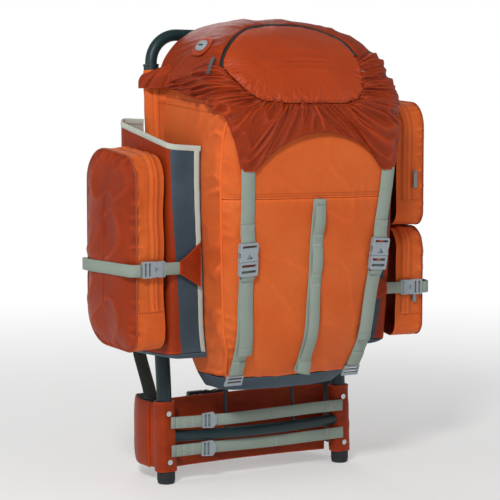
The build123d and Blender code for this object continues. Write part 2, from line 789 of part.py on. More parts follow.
# Tube sleeves: sheaths of belt cloth round the lower ends of the side tubes
sheath_span = (21, 140)
with BuildPart() as belt_sheaths:
    for side, s in sides:
        with BuildSketch(Plane.XY.offset(sheath_span[0])):
            with Locations((s * half, tube_y(sheath_span[0]))):
                RectangleRounded(38, 30, 13)
        with BuildSketch(Plane.XY.offset(sheath_span[1])):
            with Locations((s * half, tube_y(sheath_span[1]))):
                RectangleRounded(36, 30, 13)
        loft()
    for side, s in sides:
        add(tube_core(s * half, tube_radius + 0.3), mode=Mode.SUBTRACT)
        add(pin_holes(s * half, belt_pins), mode=Mode.SUBTRACT)
    add(cross_bar("lower", -0.3), mode=Mode.SUBTRACT)
    with BuildSketch(Plane.XY):
        for side, s in sides:
            with Locations((s * half, tube_route[0][0])):
                Circle(tube_radius + foot_wall + 1)
    extrude(amount=foot_height + 0.5, mode=Mode.SUBTRACT)
belt_sheaths.part.label = "belt_sheaths"
export_step(belt_sheaths.part, "parts/belt_sheaths.step")

# Lumbar pad: a padded band stretched between the sheaths, behind the lower cross bar
pad_thickness = 8
pad_reach = half - 20
with BuildPart() as lumbar_pad:
    with BuildSketch(Plane.XY.offset(sheath_span[0])):
        with BuildLine():
            ThreePointArc((-pad_reach, 3), (0, 12), (pad_reach, 3))
        trace(line_width=pad_thickness)
    with BuildSketch(Plane.XY.offset(sheath_span[1])):
        with BuildLine():
            ThreePointArc((-pad_reach, 9), (0, 18), (pad_reach, 9))
        trace(line_width=pad_thickness)
    loft(ruled=True)
lumbar_pad.part.label = "lumbar_pad"
export_step(lumbar_pad.part, "parts/lumbar_pad.step")

# Tension straps: two runs of webbing in front of the rails that pull the sheaths together
tension_heights = (105, 56)
tension_front = 17.2  # from a tube's centre line forward to the strap
with BuildPart() as tension_straps:
    for z, bow in zip(tension_heights, (9, 0)):
        y = tube_y(z) - tension_front
        with BuildSketch(Plane.XY.offset(z)):
            with BuildLine():
                if bow:
                    Polyline((-165, y), (-rail_x, y - bow), (rail_x, y - bow), (165, y))
                else:
                    Line((-165, y), (165, y))
            trace(line_width=webbing)
        extrude(amount=small_width / 2, both=True)
tension_straps.part.label = "tension_straps"
export_step(tension_straps.part, "parts/tension_straps.step")

# Ladder-locks: under the bag's front edge for the lower straps, and on the tension straps
tension_lock_x = -107
with BuildPart() as ladder_locks:
    for side, s in sides:
        at = (s * near, front_y(low, near) - 9, low - 6)
        add(seat(lock_25, strap_plane(at, (0, -0.55, 1), (0, -1, -0.55))))
    for z, bow in zip(tension_heights, (5.5, 0)):
        at = (tension_lock_x, tube_y(z) - tension_front - bow - 4.4, z)
        add(seat(lock_20, strap_plane(at, (-1, 0.04, 0), (-0.04, -1, 0))))
ladder_locks.part.label = "ladder_locks"
export_step(ladder_locks.part, "parts/ladder_locks.step")

# Hip wings: padded belt halves that swing about the side tubes and carry the belt webbing
wing_thickness = 11
wing_root = (half + 14, 14)
wing_tip = (78, 150)
wing_middle = 79
with BuildPart() as wing_blank:
    with BuildSketch(Plane.XY.offset(wing_middle)):
        with BuildLine():
            Spline(wing_root, (190, 55), (165, 108), (122, 140), wing_tip)
        trace(line_width=wing_thickness)
    extrude(amount=60, both=True)
with BuildPart() as wing_shape:
    with BuildSketch(Plane.XZ.offset(-300)):
        with BuildLine():
            Polyline((215, 22), (215, 137), (175, 137), (74, 118), (74, 62), (160, 22), close=True)
        make_face()
        fillet(vertices().group_by(Axis.X)[0], radius=18)
    extrude(amount=400)
for side, s in sides:
    with BuildPart() as hip_wing:
        add(wing_blank.part)
        add(wing_shape.part, mode=Mode.INTERSECT)
        with BuildSketch(Plane.XY.offset(92)):
            with BuildLine():
                Spline((120, 146.5), (78, 158.6), (52, 162.6))
            trace(line_width=2.2)
        extrude(amount=belt_width / 2, both=True)
        if s < 0:
            mirror(about=Plane.YZ, mode=Mode.REPLACE)
    hip_wing.part.label = f"hip_wing_{side}"
    export_step(hip_wing.part, f"parts/hip_wing_{side}.step")

belt_buckle_plane = strap_plane((2, 170.5, 92), (1, 0, 0), (0, 1, 0))
female = seat(buckle_female(belt_width), belt_buckle_plane)
female.label = "belt_buckle_female"
export_step(female, "parts/belt_buckle_female.step")
male = seat(buckle_male(belt_width), belt_buckle_plane)
male.label = "belt_buckle_male"
export_step(male, "parts/belt_buckle_male.step")

# Shoulder harness: a yoke pad behind the shoulder bar and two padded straps over it
yoke_plane = upright(22, 480, 28, 600)
with BuildPart() as shoulder_yoke:
    with BuildSketch(Plane(origin=yoke_plane.origin, x_dir=(1, 0, 0), z_dir=-yoke_plane.z_dir)):
        with BuildLine():
            Polyline((-45, 0), (45, 0), (88, 60), (95, 118), (-95, 118), (-88, 60), close=True)
        make_face()
        fillet(vertices().group_by(Axis.Y)[0], radius=20)
    extrude(amount=8)
shoulder_yoke.part.label = "shoulder_yoke"
export_step(shoulder_yoke.part, "parts/shoulder_yoke.step")

harness_splay = 0.2
pad_route = [(40, -20), (44, 20), (66, 50), (104, 52), (138, 8), (158, -90), (160, -200), (150, -300)]
with BuildPart() as shoulder_straps:
    for side, s in sides:
        slant = Vector(1, 0, s * harness_splay).normalized()
        sheet = Plane(origin=(s * 78, 0, 600), x_dir=(0, 1, 0), z_dir=slant)
        add(ribbon(sheet, pad_route, 58, thickness=12))
shoulder_straps.part.label = "shoulder_straps"
export_step(shoulder_straps.part, "parts/shoulder_straps.step")

# Harness webbing: load lifters looped over the top bar, the lower runs, and the sternum strap
lifter_x = 138
loop_height = 38
loop_width = 29
loop_middle = 695
lower_route = [(150, 152, 286), (166, 108, 216), (179, 36, 152), (184, 21, 143)]
sternum_z = 505
sternum_y = 170
with BuildPart() as harness_webbing:
    for side, s in sides:
        loop_y = bar_y("top", lifter_x)
        with BuildSketch(Plane.YZ.offset(s * lifter_x)):
            with Locations((loop_y, loop_middle)):
                SlotOverall(loop_height, loop_width, rotation=90)
                SlotOverall(
                    loop_height - 2 * webbing, loop_width - 2 * webbing, rotation=90, mode=Mode.SUBTRACT
                )
        extrude(amount=small_width / 2, both=True)
        lifter = [(s * lifter_x, loop_y + loop_width / 2 + 0.3, 690), (s * 84, 84, 673)]
        lower_run = [(s * x, y, z) for x, y, z in lower_route]
        for points, width in ((lifter, small_width), (lower_run, strap_width)):
            with BuildLine() as route:
                if len(points) == 2:
                    Line(*points)
                else:
                    FilletPolyline(*points, radius=12)
            line = route.wire()
            with BuildSketch(Plane(origin=line @ 0, x_dir=(1, 0, 0), z_dir=line % 0)):
                Rectangle(width, webbing)
            sweep()
    with BuildSketch(Plane.XY.offset(sternum_z)):
        with BuildLine():
            Polyline((-118, sternum_y - 1), (-60, sternum_y), (-21, sternum_y))
        trace(line_width=webbing)
        with BuildLine():
            Polyline((30, sternum_y), (60, sternum_y), (118, sternum_y - 1))
        trace(line_width=webbing)
    extrude(amount=small_width / 2, both=True)
harness_webbing.part.label = "harness_webbing"
export_step(harness_webbing.part, "parts/harness_webbing.step")

# Sternum buckle
sternum_plane = strap_plane((0, sternum_y + 5.2, sternum_z), (1, 0, 0), (0, 1, 0))
female = seat(socket_20, sternum_plane)
female.label = "sternum_buckle_female"
export_step(female, "parts/sternum_buckle_female.step")
male = seat(prongs_20, sternum_plane)
male.label = "sternum_buckle_male"
export_step(male, "parts/sternum_buckle_male.step")


def zip_slider(plane):
    """A zip slider with its pull tab, lying on a plane with the tab hanging down its local -Y."""
    with BuildPart() as slider:
        with BuildSketch():
            RectangleRounded(7, 10, 2)
        extrude(amount=3)
        with BuildSketch(Plane.XY.offset(1.2)):
            with Locations((0, -14)):
                RectangleRounded(6.4, 24, 2)
            with Locations((0, -23)):
                Circle(1.5, mode=Mode.SUBTRACT)
        extrude(amount=1.6)
    return seat(slider.part, plane)


# Zip sliders: one on each pocket's straight run of zip and one on the lid pocket
lid_ray = Axis((-400, -290, 706), (0.88, 0.47, 0))
lid_hits = lid_solid(0, lid_rear, 0).find_intersection_points(lid_ray)
lid_hit, lid_normal = min(lid_hits, key=lambda hit: hit[0].X)
left_out = pocket_plane(-1).z_dir
right_out = pocket_plane(1).z_dir
slider_planes = {
    "lid_zip_slider": Plane(origin=lid_hit + lid_normal * 0.6, x_dir=(0.47, -0.88, 0), z_dir=lid_normal),
    "pocket_left_zip_slider": Plane(
        origin=pocket_plane(-1, 425, 36).origin - pocket_plane(-1).x_dir * 151.2,
        x_dir=left_out,
        z_dir=-pocket_plane(-1).x_dir,
    ),
    "pocket_right_upper_zip_slider": Plane(
        origin=pocket_plane(1, 500, 36).origin - pocket_plane(1).x_dir * 1.2,
        x_dir=right_out * -1,
        z_dir=-pocket_plane(1).x_dir,
    ),
    "pocket_right_lower_zip_slider": Plane(
        origin=pocket_plane(1, 300, 36).origin - pocket_plane(1).x_dir * 1.2,
        x_dir=right_out * -1,
        z_dir=-pocket_plane(1).x_dir,
    ),
}
for name, plane in slider_planes.items():
    slider = zip_slider(plane)
    slider.label = name
    export_step(slider, f"parts/{name}.step")
    print(name, "stands on", plane.origin, "facing", plane.z_dir)
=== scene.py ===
import math

import bpy
import numpy as np
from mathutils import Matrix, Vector
from mathutils.bvhtree import BVHTree


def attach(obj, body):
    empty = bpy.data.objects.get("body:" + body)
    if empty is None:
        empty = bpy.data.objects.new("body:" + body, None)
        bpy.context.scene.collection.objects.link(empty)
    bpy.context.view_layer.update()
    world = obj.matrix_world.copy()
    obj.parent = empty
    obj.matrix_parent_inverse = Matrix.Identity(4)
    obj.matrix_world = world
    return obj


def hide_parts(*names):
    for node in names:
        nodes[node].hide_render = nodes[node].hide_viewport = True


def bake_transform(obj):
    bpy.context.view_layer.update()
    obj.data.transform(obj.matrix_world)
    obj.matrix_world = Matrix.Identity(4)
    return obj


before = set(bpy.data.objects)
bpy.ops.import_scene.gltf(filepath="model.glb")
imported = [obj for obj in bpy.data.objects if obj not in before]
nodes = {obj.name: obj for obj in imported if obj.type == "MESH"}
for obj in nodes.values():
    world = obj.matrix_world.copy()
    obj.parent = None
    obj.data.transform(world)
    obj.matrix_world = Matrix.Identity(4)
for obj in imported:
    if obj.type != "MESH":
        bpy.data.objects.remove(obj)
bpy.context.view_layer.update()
mm = 0.001
sides = {"left": -1, "right": 1}


def colour(code):
    channels = [int(code[i : i + 2], 16) / 255 for i in (1, 3, 5)]
    return [c / 12.92 if c < 0.04045 else ((c + 0.055) / 1.055) ** 2.4 for c in channels] + [1.0]


def addNode(tree, kind, settings=None):
    # A setting is a property of the node, a value for one of its sockets, or a socket to link to it
    node = tree.nodes.new("ShaderNode" + kind)
    for key, value in (settings or {}).items():
        if isinstance(value, bpy.types.NodeSocket):
            tree.links.new(value, node.inputs[key])
        elif isinstance(key, str) and hasattr(node, key):
            setattr(node, key, value)
        else:
            node.inputs[key].default_value = value
    return node.outputs


def newMaterial(name):
    material = bpy.data.materials.new(name)
    material.use_nodes = True
    material.node_tree.nodes.clear()
    return material, material.node_tree


def perMetre(size):
    return 1000 / size  # texture scale for a feature of that many millimetres


def bandScale(pitch):
    return 0.31416 * 1000 / pitch  # wave texture scale for lines that many millimetres apart


def wovenCloth(name, weave):
    # Crossed threads on the cloth's own plane, faded in clouds, with crumples finer than the mesh, painted
    # shade in the valleys of folds and painted highlights on their ridges
    material, tree = newMaterial(name)
    spot = addNode(tree, "TexCoord")
    thread = {"Scale": bandScale(weave["thread"]), "Vector": spot["UV"]}
    warp, weft = [addNode(tree, "TexWave", {"bands_direction": way, **thread})["Fac"] for way in "XY"]
    height = addNode(tree, "Math", {"operation": "MULTIPLY", 0: warp, 1: weft})[0]
    cloud = {"Scale": perMetre(90), "Detail": 4.0, "Roughness": 0.6, "Vector": spot["Object"]}
    cloud = addNode(tree, "TexNoise", cloud)["Fac"]
    fleck = {"Scale": perMetre(2.2), "Detail": 2.0, "Vector": spot["Object"]}
    fleck = addNode(tree, "TexNoise", fleck)["Fac"]
    faded = addNode(tree, "MapRange", {"From Min": 0.35, "From Max": 0.65, "Value": cloud})[0]
    flecked = {"From Min": 0.45, "From Max": 0.75, "To Max": 0.25, "Value": fleck}
    flecked = addNode(tree, "MapRange", flecked)[0]
    base, worn, dark = colour(weave["base"]), colour(weave["worn"]), colour(weave["dark"])
    base = addNode(tree, "Mix", {"data_type": "RGBA", 0: faded, 6: base, 7: worn})[2]
    base = addNode(tree, "Mix", {"data_type": "RGBA", 0: flecked, 6: base, 7: dark})[2]
    # painted shade and painted highlight: by the mesh's pointiness, fold valleys are painted darker and fold
    # ridges lighter, as shade and light would fall on them
    foldShading = {"From Min": 0.472, "From Max": 0.528, "Value": addNode(tree, "NewGeometry")["Pointiness"]}
    foldShading = {**foldShading, "To Min": weave.get("valley", 0.68), "To Max": weave.get("ridge", 1.1)}
    base = addNode(tree, "HueSaturation", {"Value": addNode(tree, "MapRange", foldShading)[0], "Color": base})[0]
    if "ripstop" in weave:
        turn = {"Rotation": (0, 0, math.radians(45)), "Vector": spot["UV"]}
        line = {"Scale": bandScale(weave["ripstop"]), "Vector": addNode(tree, "Mapping", turn)[0]}
        waves = [addNode(tree, "TexWave", {"bands_direction": way, **line})["Fac"] for way in "XY"]
        first, second = [addNode(tree, "MapRange", {"From Min": 0.82, "Value": wave})[0] for wave in waves]
        lines = addNode(tree, "Math", {"operation": "MAXIMUM", 0: first, 1: second})[0]
        base = addNode(tree, "Mix", {"data_type": "RGBA", 0: lines, 6: base, 7: colour(weave["line"])})[2]
        height = addNode(tree, "Math", {"operation": "ADD", 0: height, 1: lines})[0]
    crumple = {"Scale": perMetre(26), "Detail": 3.0, "Distortion": 0.6, "Vector": spot["Object"]}
    crumple = addNode(tree, "TexNoise", crumple)["Fac"]
    bump = addNode(tree, "Bump", {"Strength": weave["crumple"], "Distance": 0.004, "Height": crumple})[0]
    relief = {"Strength": weave["relief"], "Distance": 0.0005, "Height": height, "Normal": bump}
    surface = {
        "Roughness": weave["roughness"], "Sheen Weight": weave["sheen"], "Sheen Roughness": 0.45,
        "Specular IOR Level": weave.get("specular", 0.14), "Base Color": base,
        "Normal": addNode(tree, "Bump", relief)[0],
    }
    addNode(tree, "OutputMaterial", {"Surface": addNode(tree, "BsdfPrincipled", surface)[0]})
    return material


def wovenWebbing(name, tape):
    # Slanted ribs across a strap, with painted shade darkening their grooves
    material, tree = newMaterial(name)
    spot = addNode(tree, "TexCoord")
    turn = {"Rotation": (0, 0, math.radians(tape["slant"])), "Vector": spot["UV"]}
    slanted = addNode(tree, "Mapping", turn)[0]
    rib = {"bands_direction": "Y", "Scale": bandScale(tape["rib"]), "Vector": slanted}
    rib = addNode(tree, "TexWave", rib)["Fac"]
    fade = addNode(tree, "TexNoise", {"Scale": perMetre(40), "Detail": 3.0, "Vector": spot["Object"]})["Fac"]
    # painted shade: the low part of each rib is mixed toward the dark colour
    shade = addNode(tree, "MapRange", {"To Min": tape["groove"], "To Max": 0.0, "Value": rib})[0]
    base, worn, dark = colour(tape["base"]), colour(tape["worn"]), colour(tape["dark"])
    base = addNode(tree, "Mix", {"data_type": "RGBA", 0: fade, 6: base, 7: worn})[2]
    base = addNode(tree, "Mix", {"data_type": "RGBA", 0: shade, 6: base, 7: dark})[2]
    surface = {
        "Roughness": 0.72, "Sheen Weight": 0.06, "Sheen Roughness": 0.4, "Specular IOR Level": 0.16,
        "Base Color": base,
        "Normal": addNode(tree, "Bump", {"Strength": 0.5, "Distance": 0.0004, "Height": rib})[0],
    }
    addNode(tree, "OutputMaterial", {"Surface": addNode(tree, "BsdfPrincipled", surface)[0]})
    return material


def hardFinish(name, finish):
    # Moulded, coated or plated: clouds of colour and a fine grain in height and gloss
    material, tree = newMaterial(name)
    spot = addNode(tree, "TexCoord")["Object"]
    grain = {"Scale": perMetre(finish["grain"]), "Detail": 3.0, "Vector": spot}
    grain = addNode(tree, "TexNoise", grain)["Fac"]
    cloud = addNode(tree, "TexNoise", {"Scale": perMetre(45), "Detail": 4.0, "Vector": spot})["Fac"]
    tones = {6: colour(finish["base"]), 7: colour(finish["worn"])}
    gloss = {"To Min": finish["roughness"] - 0.06, "To Max": finish["roughness"] + 0.08, "Value": grain}
    relief = {"Strength": finish["relief"], "Distance": 0.0003, "Height": grain}
    surface = {
        "Metallic": finish.get("metallic", 0.0), "Coat Roughness": 0.3, "IOR": finish.get("ior", 1.5),
        "Base Color": addNode(tree, "Mix", {"data_type": "RGBA", 0: cloud, **tones})[2],
        "Roughness": addNode(tree, "MapRange", gloss)[0],
        "Normal": addNode(tree, "Bump", relief)[0],
    }
    addNode(tree, "OutputMaterial", {"Surface": addNode(tree, "BsdfPrincipled", surface)[0]})
    return material


# Woven polyester, coated inside: a dull face in plain weave, drawn at 1.6 mm so that it shows
orangeCloth = wovenCloth("orange polyester pack cloth", {
    "base": "#d65f26", "worn": "#dc692e", "dark": "#b2491a", "thread": 1.6, "roughness": 0.58, "sheen": 0.04,
    "crumple": 0.2, "relief": 0.35,
})
# Nylon ripstop: smoother and shinier, with a raised diamond grid
rustRipstop = wovenCloth("rust nylon ripstop", {
    "base": "#a8370f", "worn": "#b44114", "dark": "#822608", "line": "#b34316", "thread": 1.4, "ripstop": 5.6,
    "roughness": 0.38, "sheen": 0.02, "crumple": 0.25, "relief": 0.3, "specular": 0.22,
    # its folds get stronger painted shade in their valleys and painted highlights on their ridges
    "valley": 0.55, "ridge": 1.25,
})
# Plain woven nylon, lightly calendered, so that folds catch the light
rustCloth = wovenCloth("rust nylon pack cloth", {
    "base": "#8f2d09", "worn": "#9c350d", "dark": "#641c06", "thread": 1.6, "roughness": 0.44, "sheen": 0.02,
    # its folds get the strongest painted shade in their valleys and painted highlights on their ridges
    "crumple": 0.4, "relief": 0.35, "specular": 0.16, "valley": 0.5, "ridge": 1.32,
})
# Nylon with a thick coat of polyurethane: flat and dull
slateCloth = wovenCloth("slate coated nylon", {
    "base": "#3b4a55", "worn": "#475661", "dark": "#29343c", "thread": 1.6, "roughness": 0.6, "sheen": 0.06,
    "crumple": 0.15, "relief": 0.3,
})
# The inner side of the coated cloth
liningCloth = wovenCloth("grey coated lining", {
    "base": "#9c978b", "worn": "#b3aea2", "dark": "#76726a", "thread": 1.2, "roughness": 0.5, "sheen": 0.1,
    "crumple": 0.3, "relief": 0.2,
})
# Knitted polyester spacer, open and fuzzy
spacerMesh = wovenCloth("dark spacer mesh", {
    "base": "#2f3538", "worn": "#3b4245", "dark": "#15181a", "thread": 3.2, "roughness": 0.8, "sheen": 0.3,
    "crumple": 0.05, "relief": 0.9,
})
# Nylon straps in a twill weave
sageWebbing = wovenWebbing("sage nylon webbing", {
    "base": "#8c988c", "worn": "#99a49a", "dark": "#66726a", "rib": 2.0, "slant": 28, "groove": 0.35,
})
darkWebbing = wovenWebbing("dark nylon webbing", {
    "base": "#46544f", "worn": "#53615b", "dark": "#2c3633", "rib": 2.0, "slant": 28, "groove": 0.4,
})
# Thin ribbed tapes of polyester, folded over edges or carrying a zip
paleBinding = wovenWebbing("pale grosgrain binding", {
    "base": "#b7beb4", "worn": "#c3c9be", "dark": "#8b938a", "rib": 1.4, "slant": 0, "groove": 0.3,
})
blackTape = wovenWebbing("black zip tape", {
    "base": "#231b18", "worn": "#2f2522", "dark": "#120d0b", "rib": 1.2, "slant": 0, "groove": 0.3,
})
# Compression moulded rubbers, matt
greyRubber = hardFinish("grey moulded rubber", {
    "base": "#8b9498", "worn": "#99a1a4", "roughness": 0.55, "grain": 0.9, "relief": 0.2,
})
blackRubber = hardFinish("black moulded rubber", {
    "base": "#15181a", "worn": "#22272a", "roughness": 0.68, "grain": 0.9, "relief": 0.35, "ior": 1.52,
})
# Bonded nylon thread, twisted and waxed
rustThread = hardFinish("dark rust bonded thread", {
    "base": "#6f2610", "worn": "#7d2f16", "roughness": 0.6, "grain": 1.0, "relief": 0.2,
})
orangeThread = hardFinish("burnt orange bonded thread", {
    "base": "#8d3712", "worn": "#9a4018", "roughness": 0.6, "grain": 1.0, "relief": 0.2,
})
paleThread = hardFinish("pale bonded thread", {
    "base": "#c3c8bf", "worn": "#d0d4cb", "roughness": 0.6, "grain": 1.0, "relief": 0.2,
})
# Aluminium tube, powder coated: satin with a faint orange peel
coatedTube = hardFinish("powder coated aluminium", {
    "base": "#11262a", "worn": "#1a3034", "roughness": 0.42, "grain": 1.6, "relief": 0.12, "ior": 1.42,
})
# Injection moulded acetal, slightly waxy
acetal = hardFinish("grey moulded acetal", {
    "base": "#87929a", "worn": "#929da2", "roughness": 0.42, "grain": 0.7, "relief": 0.1, "ior": 1.48,
})
blackAcetal = hardFinish("black moulded acetal", {
    "base": "#202628", "worn": "#2a3133", "roughness": 0.42, "grain": 0.7, "relief": 0.1, "ior": 1.48,
})
# Turned steel pins and wire rings, nickel plated
platedSteel = hardFinish("nickel plated steel", {
    "base": "#b9bcbc", "worn": "#c9cccc", "metallic": 1.0, "roughness": 0.24, "grain": 0.6, "relief": 0.05,
})
# Zinc sliders, cast and lacquered
zincSlider = hardFinish("die cast zinc", {
    "base": "#7e878b", "worn": "#8f979a", "metallic": 0.9, "roughness": 0.38, "grain": 0.6, "relief": 0.1,
})
print("materials made")


# Grids hold points in millimetres, rows by columns; the distances along them lay the cloth out flat


def distanceAlong(points):
    return np.r_[0, np.cumsum(np.linalg.norm(np.diff(points, axis=0), axis=1))]


def pathLength(points):
    return np.sum(np.linalg.norm(np.diff(points, axis=0), axis=1))


def alongRows(grid):
    step = np.linalg.norm(np.diff(grid, axis=1), axis=2)
    return np.concatenate([np.zeros((len(grid), 1)), np.cumsum(step, axis=1)], axis=1)


def alongColumns(grid):
    return alongRows(grid.transpose(1, 0, 2)).T


def borderDistances(grid):
    # Distances from the left, right, low and high edges
    u, v = alongRows(grid), alongColumns(grid)
    return u, u[:, -1:] - u, v, v[-1:, :] - v


def unit(vectors):
    return vectors / np.linalg.norm(vectors, axis=-1, keepdims=True)


def fading(distance, reach, power=2):
    return np.exp(-((distance / reach) ** power))  # 1 at an edge, fading away from it


def growing(distance, reach):
    return np.minimum(1, distance / reach)  # 0 at an edge, 1 from the reach on


def bothHalves(half):
    return np.vstack([(half * (-1, 1))[::-1][:-1], half])


def liftRow(points, z):
    return np.hstack([points, np.full((len(points), 1), z)])


def meshPiece(name, points, faces, materials, flat=None):
    mesh = bpy.data.meshes.new(name)
    mesh.from_pydata([tuple(p * mm) for p in np.asarray(points, float).reshape(-1, 3)], [], faces)
    for material in materials:
        mesh.materials.append(material)
    if flat is not None:
        layer = mesh.uv_layers.new(name="UVMap")
        corners = np.empty(len(mesh.loops), int)
        mesh.loops.foreach_get("vertex_index", corners)
        layer.data.foreach_set("uv", (np.stack(flat, axis=-1).reshape(-1, 2) * mm)[corners].ravel())
    mesh.polygons.foreach_set("use_smooth", [True] * len(mesh.polygons))
    piece = bpy.data.objects.new(name, mesh)
    bpy.context.scene.collection.objects.link(piece)
    return piece


def gridFaces(rows, columns, loop=False, flip=False):
    faces = []
    for r in range(rows - 1):
        for c in range(columns if loop else columns - 1):
            d = (c + 1) % columns
            face = (r * columns + c, r * columns + d, (r + 1) * columns + d, (r + 1) * columns + c)
            faces.append(face[::-1] if flip else face)
    return faces


def gridPiece(name, grid, materials, loop=False, flip=False):
    faces = gridFaces(*grid.shape[:2], loop, flip)
    return meshPiece(name, grid, faces, materials, (alongRows(grid), alongColumns(grid)))


def gridNormals(grid):
    normal = np.cross(np.gradient(grid, axis=1), np.gradient(grid, axis=0))
    return normal / (np.linalg.norm(normal, axis=2, keepdims=True) + 1e-9)


def moved(grid, amount, outward=1):
    return grid + gridNormals(grid) * outward * amount[..., None]


def soften(piece):
    surface = piece.modifiers.new("smooth", "SUBSURF")
    surface.levels = surface.render_levels = 1
    return piece


def thicken(piece, thickness, offset=-1, smooth=True):
    shell = piece.modifiers.new("cloth thickness", "SOLIDIFY")
    shell.thickness = thickness * mm
    shell.offset = offset
    return soften(piece) if smooth else piece


def place(piece, body, replaces=(), bend=None):
    # Rides on one body; given a bend, its transform is baked in and it rides on no body
    if bend:
        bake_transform(piece)
    else:
        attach(piece, body)
    if replaces:
        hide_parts(*replaces)
    return piece


def clothPiece(name, grid, material, slot, replaces=(), body="pack", loop=False, flip=False, **shell):
    # A sheet of cloth from a grid of points, given its thickness and softened
    piece = thicken(gridPiece(name, grid, [material], loop, flip), **{"thickness": 1.2, **shell})
    return place(piece, body, replaces)


def waviness(u, v, seed):
    # Smooth random hills from -1 to 1, one to each unit of u and of v
    hills = np.random.RandomState(seed).uniform(-1, 1, (64, 64))
    i, j = np.floor(u).astype(int), np.floor(v).astype(int)
    a, b = u - i, v - j
    a, b = a * a * (3 - 2 * a), b * b * (3 - 2 * b)
    i, j, k, m = i % 64, j % 64, (i + 1) % 64, (j + 1) % 64
    return (hills[i, j] * (1 - a) + hills[k, j] * a) * (1 - b) + (hills[i, m] * (1 - a) + hills[k, m] * a) * b


def creases(u, v, seed):
    # Sharp ridges between soft hollows, from -1 to 1
    return 1 - 2 * np.abs(waviness(u, v, seed)) ** 0.6


def puckers(distance, along, size, reach, pitch, seed):
    # Little gathers that run into a seam, spaced by the pitch and gone past the reach
    ridge = waviness(along / pitch, np.zeros_like(along), seed)
    fine = waviness(along / pitch * 2.1, distance / reach, seed + 1)
    return size * fading(distance, reach, 1.3) * (ridge + 0.5 * fine)


def stripCap(first, count, start=0, flip=False):
    # Closes a narrow ring of points with strips that join its two sides
    ring = [first + (start + k) % count for k in range(count)]
    faces = []
    for k in range(count // 2):
        corners = (ring[k], ring[k + 1], ring[count - k - 1], ring[(count - k) % count])
        kept = tuple(dict.fromkeys(corners))
        if len(kept) > 2:
            faces.append(kept[::-1] if flip else kept)
    return faces


def resample(points, count):
    # The same run of points, spaced evenly
    points = np.asarray(points, float)
    step = distanceAlong(points)
    wanted = np.linspace(0, step[-1], count)
    return np.stack([np.interp(wanted, step, points[:, k]) for k in range(points.shape[1])], axis=1)


def resampleFacing(path, facing, count):
    # The same run of points, spaced evenly, and the way each of them faces
    path, facing = np.asarray(path, float), np.asarray(facing, float)
    both = resample(np.hstack([path, np.broadcast_to(facing, path.shape) * 1e-6]), count)
    return both[:, :3], both[:, 3:] * 1e6


def hermite(a, b, m, n, t):
    # From a to b, leaving with slope m and arriving with slope n
    leaving = a * (1 + 2 * t) * (1 - t) ** 2 + m * t * (1 - t) ** 2
    return leaving + b * t * t * (3 - 2 * t) + n * t * t * (t - 1)


def throughRows(rows, at):
    # Smooth values at one height from rows that start with their height
    rows = np.asarray(rows, float)
    x, values = rows[:, 0], rows[:, 1:]
    slope = np.gradient(values, x, axis=0)
    k = np.clip(np.searchsorted(x, at) - 1, 0, len(x) - 2)
    h = x[k + 1] - x[k]
    return hermite(values[k], values[k + 1], slope[k] * h, slope[k + 1] * h, (at - x[k]) / h)


def splineThrough(points, count):
    # A smooth curve through a few points
    points = np.asarray(points, float)
    knots = np.r_[0, np.cumsum(np.linalg.norm(np.diff(points, axis=0), axis=1) ** 0.5)]
    slope = np.gradient(points, knots, axis=0)
    path = []
    for t in np.linspace(0, knots[-1], count):
        k = int(np.clip(np.searchsorted(knots, t) - 1, 0, len(knots) - 2))
        h = knots[k + 1] - knots[k]
        path.append(hermite(points[k], points[k + 1], slope[k] * h, slope[k + 1] * h, (t - knots[k]) / h))
    return resample(np.array(path), count)


def roundedPath(corners, radii, steps=6):
    # Straight runs with a soft bend at each inner corner
    corners = [np.asarray(c, float) for c in corners]
    path = [corners[0]]
    for before, corner, after, radius in zip(corners, corners[1:], corners[2:], radii):
        inward, onward = unit(before - corner), unit(after - corner)
        for t in np.arange(steps + 1) / steps:
            path.append(corner + inward * radius * (1 - t) ** 2 + onward * radius * t**2)
    return np.array(path + [corners[-1]])


def endCaps(rows, columns):
    return [tuple(range(columns))[::-1], tuple(range((rows - 1) * columns, rows * columns))]


def ribbonPiece(name, path, facing, width, thickness, material, body="pack", slot="webbing", replaces=(),
                bend=None, spacing=4.0):
    # A flat strap along a path; facing is the way its outer face looks
    count = max(3, int(pathLength(path) / spacing))
    points, out = resampleFacing(path, facing, count)
    tangent = unit(np.gradient(points, axis=0))
    side = unit(np.cross(tangent, out))
    out = np.cross(side, tangent)
    half, thick, edge = width / 2, thickness / 2, min(0.5, thickness / 3)
    profile = [(-half + edge, thick), (0, thick), (half - edge, thick), (half, 0),
               (half - edge, -thick), (0, -thick), (-half + edge, -thick), (-half, 0)]
    rings = np.stack([points + side * a + out * b for a, b in profile], axis=1)
    faces = gridFaces(count, 8, loop=True) + endCaps(count, 8)
    flat = np.tile([a for a, b in profile], (count, 1)), alongColumns(rings)
    piece = meshPiece(name, rings, faces, [material], flat)
    for polygon in piece.data.polygons:
        polygon.use_smooth = len(polygon.vertices) == 4
    return place(piece, body, replaces, bend)


def cordPiece(name, path, radius, material, body):
    tangent = unit(np.gradient(path, axis=0))
    a = unit(np.cross(tangent, (0.3, 0.2, 0.93)))
    b = np.cross(tangent, a)
    turn = np.linspace(0, 2 * math.pi, 8, endpoint=False)
    circle = np.cos(turn)[None, :, None] * a[:, None] + np.sin(turn)[None, :, None] * b[:, None]
    faces = gridFaces(len(path), 8, loop=True) + endCaps(len(path), 8)
    return place(meshPiece(name, path[:, None] + radius * circle, faces, [material]), body)


